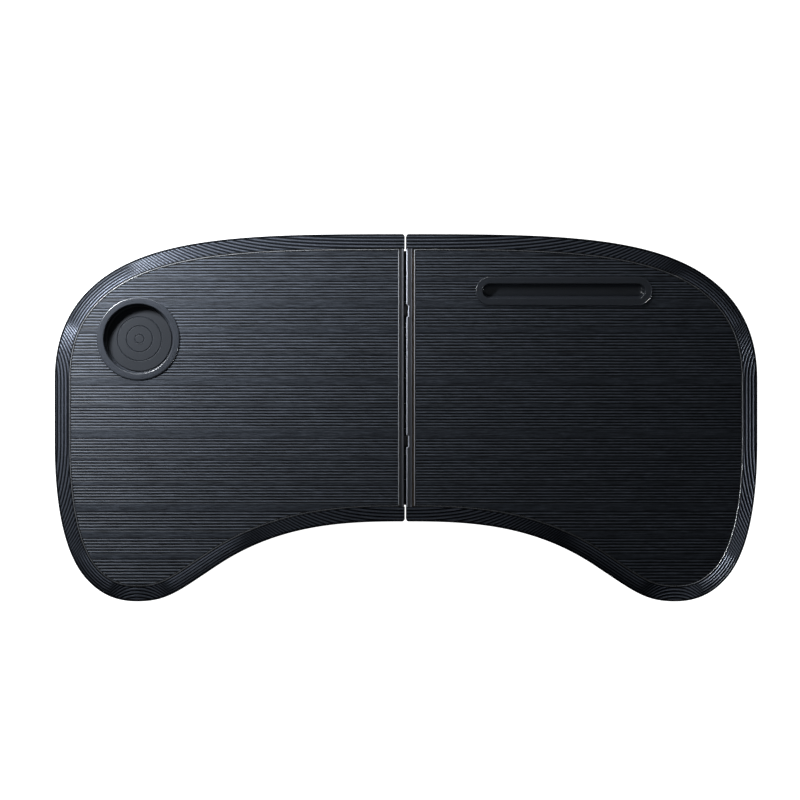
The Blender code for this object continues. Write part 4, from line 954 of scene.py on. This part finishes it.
def leg_path(side):
    """The tube's middle line from the back pivot round to the front one, and its places."""
    (pivot, back, _), _, _ = middle_of(f"{side}_back_pivot_pin")
    (_, front, _), _, _ = middle_of(f"{side}_front_pivot_pin")
    (bar, _, z), _, _ = middle_of(f"{side}_back_foot_sleeve")
    bend = SIDES[side] * BEND
    quarter = np.radians(np.linspace(0, 90, BEND_STEPS))
    turn_x, turn_y = bar + bend * (1 - np.sin(quarter)), BEND * (1 - np.cos(quarter))
    flat = np.concatenate([np.stack(stretch, 1) for stretch in (
        (np.linspace(pivot, bar + bend, ARM_STEPS), np.full(ARM_STEPS, back)),
        (turn_x[1:], back - turn_y[1:]),
        (np.full(BAR_STEPS - 2, bar), np.linspace(back - BEND, front + BEND, BAR_STEPS)[1:-1]),
        (turn_x[:0:-1], front + turn_y[:0:-1]),
        (np.linspace(bar + bend, pivot, ARM_STEPS), np.full(ARM_STEPS, front)),
    )])
    return np.column_stack([flat, np.full(len(flat), z)]), (pivot, back, front, z, bar)


for side in SIDES:
    path, (pivot, back, front, z, bar) = leg_path(side)
    eye = ring_profile(EYE_BORE, EYE_RADIUS, -EYE_RADIUS, EYE_RADIUS, EYE_CHAMFER)
    eyes = [turned_parts(eye, (pivot, y, z), 40, "Y") for y in (back, front)]
    tube = piece(f"{side}_leg_tube", [bent_tube_parts(path, TUBE_RADIUS), *eyes], 40)
    dress(tube, f"{side}_leg", LEG_METAL, "leg", f"{side}_leg_frame")
    for end in ENDS:
        centre, low, high = middle_of(f"{side}_{end}_foot_sleeve")
        half = (high.y - low.y) / 2
        at = np.linspace(-half + SLEEVE_MARGIN, half - SLEEVE_MARGIN, 90)
        grip = SLEEVE_RADIUS - GRIP_DEPTH * (0.5 + 0.5 * np.cos(at / GRIP_PITCH * 2 * math.pi)) ** 3
        sleeve = [
            (SLEEVE_BORE, -half), (SLEEVE_END, -half), *zip(grip, at),
            (SLEEVE_END, half), (SLEEVE_BORE, half), (SLEEVE_BORE, -half),
        ]
        made = piece(f"{side}_{end}_foot_grip", [turned_parts(sleeve, centre, 40, "Y")], 50)
        dress(made, f"{side}_leg", RUBBER, "rubber", f"{side}_{end}_foot_sleeve")


# %% [markdown]
# A screw's driver recess is a cross pressed into its head. The head is a polar grid, and
# the cross is a smooth dip where either x or y is small.

# %% Screws
SHANK, TAPER, HEAD_DEPTH, PAN_DEPTH, HEAD_FLAT = 0.0015, 0.0015, 0.0012, 0.0008, 0.93
COUNTERSUNK_HEAD, PAN_HEAD = 0.0028, 0.0032
HEAD_RINGS, HEAD_STEPS = 14, 48


def screw_parts(centre, z_head, z_tip, head, countersunk):
    """The face with its cross, a dip that fades past 0.16 of the head's radius across each
    arm and 0.62 of it along them, and the turned head and shank."""
    a = np.linspace(0, 2 * math.pi, HEAD_STEPS, endpoint=False)
    r = np.linspace(0, head * HEAD_FLAT, HEAD_RINGS)[:, None]
    x, y = r * np.cos(a), r * np.sin(a)
    slim = np.minimum(np.abs(x), np.abs(y))
    cross = np.exp(-((slim / (0.16 * head)) ** 4)) * np.exp(-((r / (0.62 * head)) ** 8))
    face = np.stack([x, y, z_head + 0.8 * HEAD_DEPTH * cross], 2)
    lower = z_head + (HEAD_DEPTH if countersunk else PAN_DEPTH)
    profile = [(head * HEAD_FLAT, z_head), (head, z_head + 0.00015)]
    profile += [(SHANK, lower)] if countersunk else [(head, lower), (SHANK, lower)]
    profile += [(SHANK, z_tip - TAPER), (0.0, z_tip)]
    move = np.array([*centre, 0.0])
    face_cells = grid_faces(HEAD_RINGS, HEAD_STEPS, closed=True)
    return [(face + move, face_cells), turned_parts(profile, move, HEAD_STEPS)]


for name in sorted(n for n in nodes if "screw" in n):
    centre, low, high = middle_of(name)
    countersunk = "catch" not in name
    head = COUNTERSUNK_HEAD if countersunk else PAN_HEAD
    made = piece(f"{name}_head", screw_parts(centre[:2], low.z, high.z, head, countersunk), 40)
    body = "left_leaf" if name.startswith("left") else "right_leaf"
    dress(made, body, STEEL, "steel", name)

# %% Bumpers, pins and posts
PAD_STEM, PAD_STEM_END = 0.0022, 0.0006
DOME, RIVET_HEAD, RIVET_SHANK, RIVET_DEPTH = 0.0062, 0.0035, 0.0020, 0.0012
POST_BORE, POST_RADIUS, ROD_RADIUS, SMALL_CHAMFER = 0.0018, 0.0045, 0.0013, 0.0004

for side in SIDES:
    leaf = f"{side}_leaf"
    for end in ENDS:
        (x, y, _), _, high = middle_of(f"{side}_{end}_bumper")
        profile = np.concatenate([
            [(0.0, 0.0004), (0.0025, 0.0002), (0.0045, 0.0)],
            arc((0.0058, 0.0012), 0.0012, -90, 0, 7),
            [(0.0070, 0.0024)],
            arc((0.0064, 0.0026), 0.0006, 0, 90, 5),
            [(PAD_STEM, 0.0032), (PAD_STEM, high.z - PAD_STEM_END), (0.0015, high.z), (0.0, high.z)],
        ])
        bumper = piece(f"{side}_{end}_foot_pad", [turned_parts(profile, (x, y, 0.0), 48)], 40)
        dress(bumper, leaf, RUBBER, "rubber", f"{side}_{end}_bumper")
        centre, low, high = middle_of(f"{side}_{end}_pivot_pin")
        half = (high.y - low.y) / 2
        cap = arc((0.0, half - DOME), DOME, 90, 57, 8)
        cap[:, 0] = np.minimum(cap[:, 0], RIVET_HEAD)
        neck = [(RIVET_HEAD, half - RIVET_DEPTH), (RIVET_SHANK, half - RIVET_DEPTH)]
        profile = np.concatenate([cap, neck, np.array(neck[::-1]) * (1, -1), cap[::-1] * (1, -1)])
        pin = piece(f"{side}_{end}_leg_rivet", [turned_parts(profile, centre, 40, "Y")], 40)
        dress(pin, leaf, STEEL, "steel", f"{side}_{end}_pivot_pin")
    (x, y, _), low, high = middle_of(f"{side}_catch_post")
    profile = ring_profile(POST_BORE, POST_RADIUS, low.z, high.z, SMALL_CHAMFER)
    post = piece(f"{side}_catch_spacer", [turned_parts(profile, (x, y, 0.0), 40)], 40)
    dress(post, leaf, NYLON, "nylon", f"{side}_catch_post")

centre, low, high = middle_of("hinge_pin")
half = (high.y - low.y) / 2
profile = ring_profile(0.0, ROD_RADIUS, -half, half, SMALL_CHAMFER)[:-1]
rod = piece("hinge_rod", [turned_parts(profile, centre, 24, "Y")], 40)
dress(rod, "left_leaf", STEEL, "steel", "hinge_pin")

# %% [markdown]
# The boards, battens, brackets, catches and hinge plates already have the right shape,
# so these nodes stay, with finishes of their own.

# %% Finishes for the nodes that stay
STAYING = {
    "core_board": BOARD, "batten": BOARD, "hinge_plate": HINGE_PAINT, "back_leg_bracket": NYLON,
    "front_leg_bracket": NYLON, "leg_catch": NYLON,
}
for name, finish_of_node in STAYING.items():
    for side in SIDES:
        shown = nodes[f"{side}_{name}"]
        shown.data.materials.clear()
        shown.data.materials.append(finish_of_node)

# %% [markdown]
# ## Floor, light and camera
# The photograph looks straight down. The key lamp stands low at the upper left, so a rib
# is bright on the flank that faces it. A long one lies flat at the lower right and grazes
# the moulding there, and a weak one stands behind. The floor and the backdrop are white
# to the camera and to reflections. The floor lies where the feet stand once the legs are
# out, so that it hides no leg and no folded leaf, and it is clear from below.

# %% Floor and backdrop
_, (pivot, _, _, leg_z, bar) = leg_path("left")
LEG_SWING, FOOT_REACH = math.radians(98), 0.0085
FLOOR_Z = leg_z - abs(bar - pivot) * math.sin(LEG_SWING) - FOOT_REACH
STUDIO_RADIUS, WALL_HEIGHT, STUDIO_STEPS = 12.0, 4.0, 64
around = np.linspace(0, 2 * math.pi, STUDIO_STEPS, endpoint=False)
high_ring, floor_ring = (
    np.column_stack([STUDIO_RADIUS * np.cos(around), STUDIO_RADIUS * np.sin(around), 0 * around + z])
    for z in (WALL_HEIGHT, FLOOR_Z)
)
stage_parts = {
    "floor": (floor_ring, [list(range(STUDIO_STEPS))]),
    "backdrop": (
        np.concatenate([high_ring, floor_ring]), grid_faces(2, STUDIO_STEPS, closed=True)
    ),
}


def seen_directly(tree):
    """1 for rays from the camera, a reflection or a transmission, and 0 for the rest."""
    path = node(tree, "ShaderNodeLightPath", (-900, 0))
    total = path.outputs["Is Camera Ray"]
    for count, name in enumerate(("Is Glossy Ray", "Is Transmission Ray")):
        most = node(tree, "ShaderNodeMath", (-700 + 180 * count, 0), operation="MAXIMUM")
        tree.links.new(total, most.inputs[0])
        wire(tree, (path, name, most, 1))
        total = most.outputs[0]
    return total


white_floor = bpy.data.materials.new("white floor")
white_floor.use_nodes = True
tree = white_floor.node_tree
tree.nodes.clear()
glow = node(tree, "ShaderNodeEmission", (-200, 100))
fill(glow, Color=(0.96, 0.96, 0.955, 1.0))
matt = node(tree, "ShaderNodeBsdfDiffuse", (-200, -100))
fill(matt, Color=(0.45, 0.45, 0.45, 1.0))
both = node(tree, "ShaderNodeAddShader", (100, 0))
clear = node(tree, "ShaderNodeBsdfTransparent", (100, -150))
facing = node(tree, "ShaderNodeNewGeometry", (100, 250))
one_sided = node(tree, "ShaderNodeMixShader", (300, 0))
out = node(tree, "ShaderNodeOutputMaterial", (500, 0))
tree.links.new(seen_directly(tree), glow.inputs["Strength"])
wire(
    tree, (glow, 0, both, 0), (matt, 0, both, 1), (facing, "Backfacing", one_sided, "Fac"),
    (both, 0, one_sided, 1), (clear, 0, one_sided, 2), (one_sided, 0, out, "Surface"),
)
for name, (points, faces) in stage_parts.items():
    stage_mesh = bpy.data.meshes.new(name)
    stage_mesh.from_pydata(points, [], faces)
    stage_mesh.materials.append(white_floor)
    stage_piece = show(name, stage_mesh)

# %% World and lamps
WORLD_LIGHT, LAMP_TINT = 0.075, (0.93, 0.96, 1.0)
world = bpy.data.worlds.new("studio")
bpy.context.scene.world = world
world.use_nodes = True
tree = world.node_tree
tree.nodes.clear()
dim = node(tree, "ShaderNodeBackground", (0, 0))
fill(dim, Color=(0.85, 0.92, 1.0, 1.0), Strength=WORLD_LIGHT)
out = node(tree, "ShaderNodeOutputWorld", (250, 0))
wire(tree, (dim, 0, out, "Surface"))


def soft_lamp(name, place, target, size, watts):
    """An oblong area lamp at a place, turned towards a target."""
    lamp = bpy.data.lights.new(name, "AREA")
    lamp.shape = "RECTANGLE"
    lamp.size, lamp.size_y = size
    lamp.energy = watts
    lamp.color = LAMP_TINT
    made = show(name, lamp)
    made.location = place
    made.rotation_euler = (Vector(target) - Vector(place)).to_track_quat("-Z", "Y").to_euler()


soft_lamp("key", (-0.50, 0.36, 0.385), (-0.61, 0.48, 0.0), (0.18, 0.18), 17.2)
soft_lamp("kick", (1.12, -0.46, 0.02), (0.30, -0.05, 0.03), (0.80, 0.05), 24.0)
soft_lamp("back", (-0.20, 0.75, 0.32), (-0.08, 0.15, 0.03), (0.50, 0.10), 2.7)

# %% Camera
camera_data = bpy.data.cameras.new("straight down")
camera_data.lens = LENS
camera_data.sensor_width = SENSOR
camera = show("straight down", camera_data)
camera.location = CAMERA_PLACE
bpy.context.scene.camera = camera
bpy.context.scene.view_settings.view_transform = "Standard"
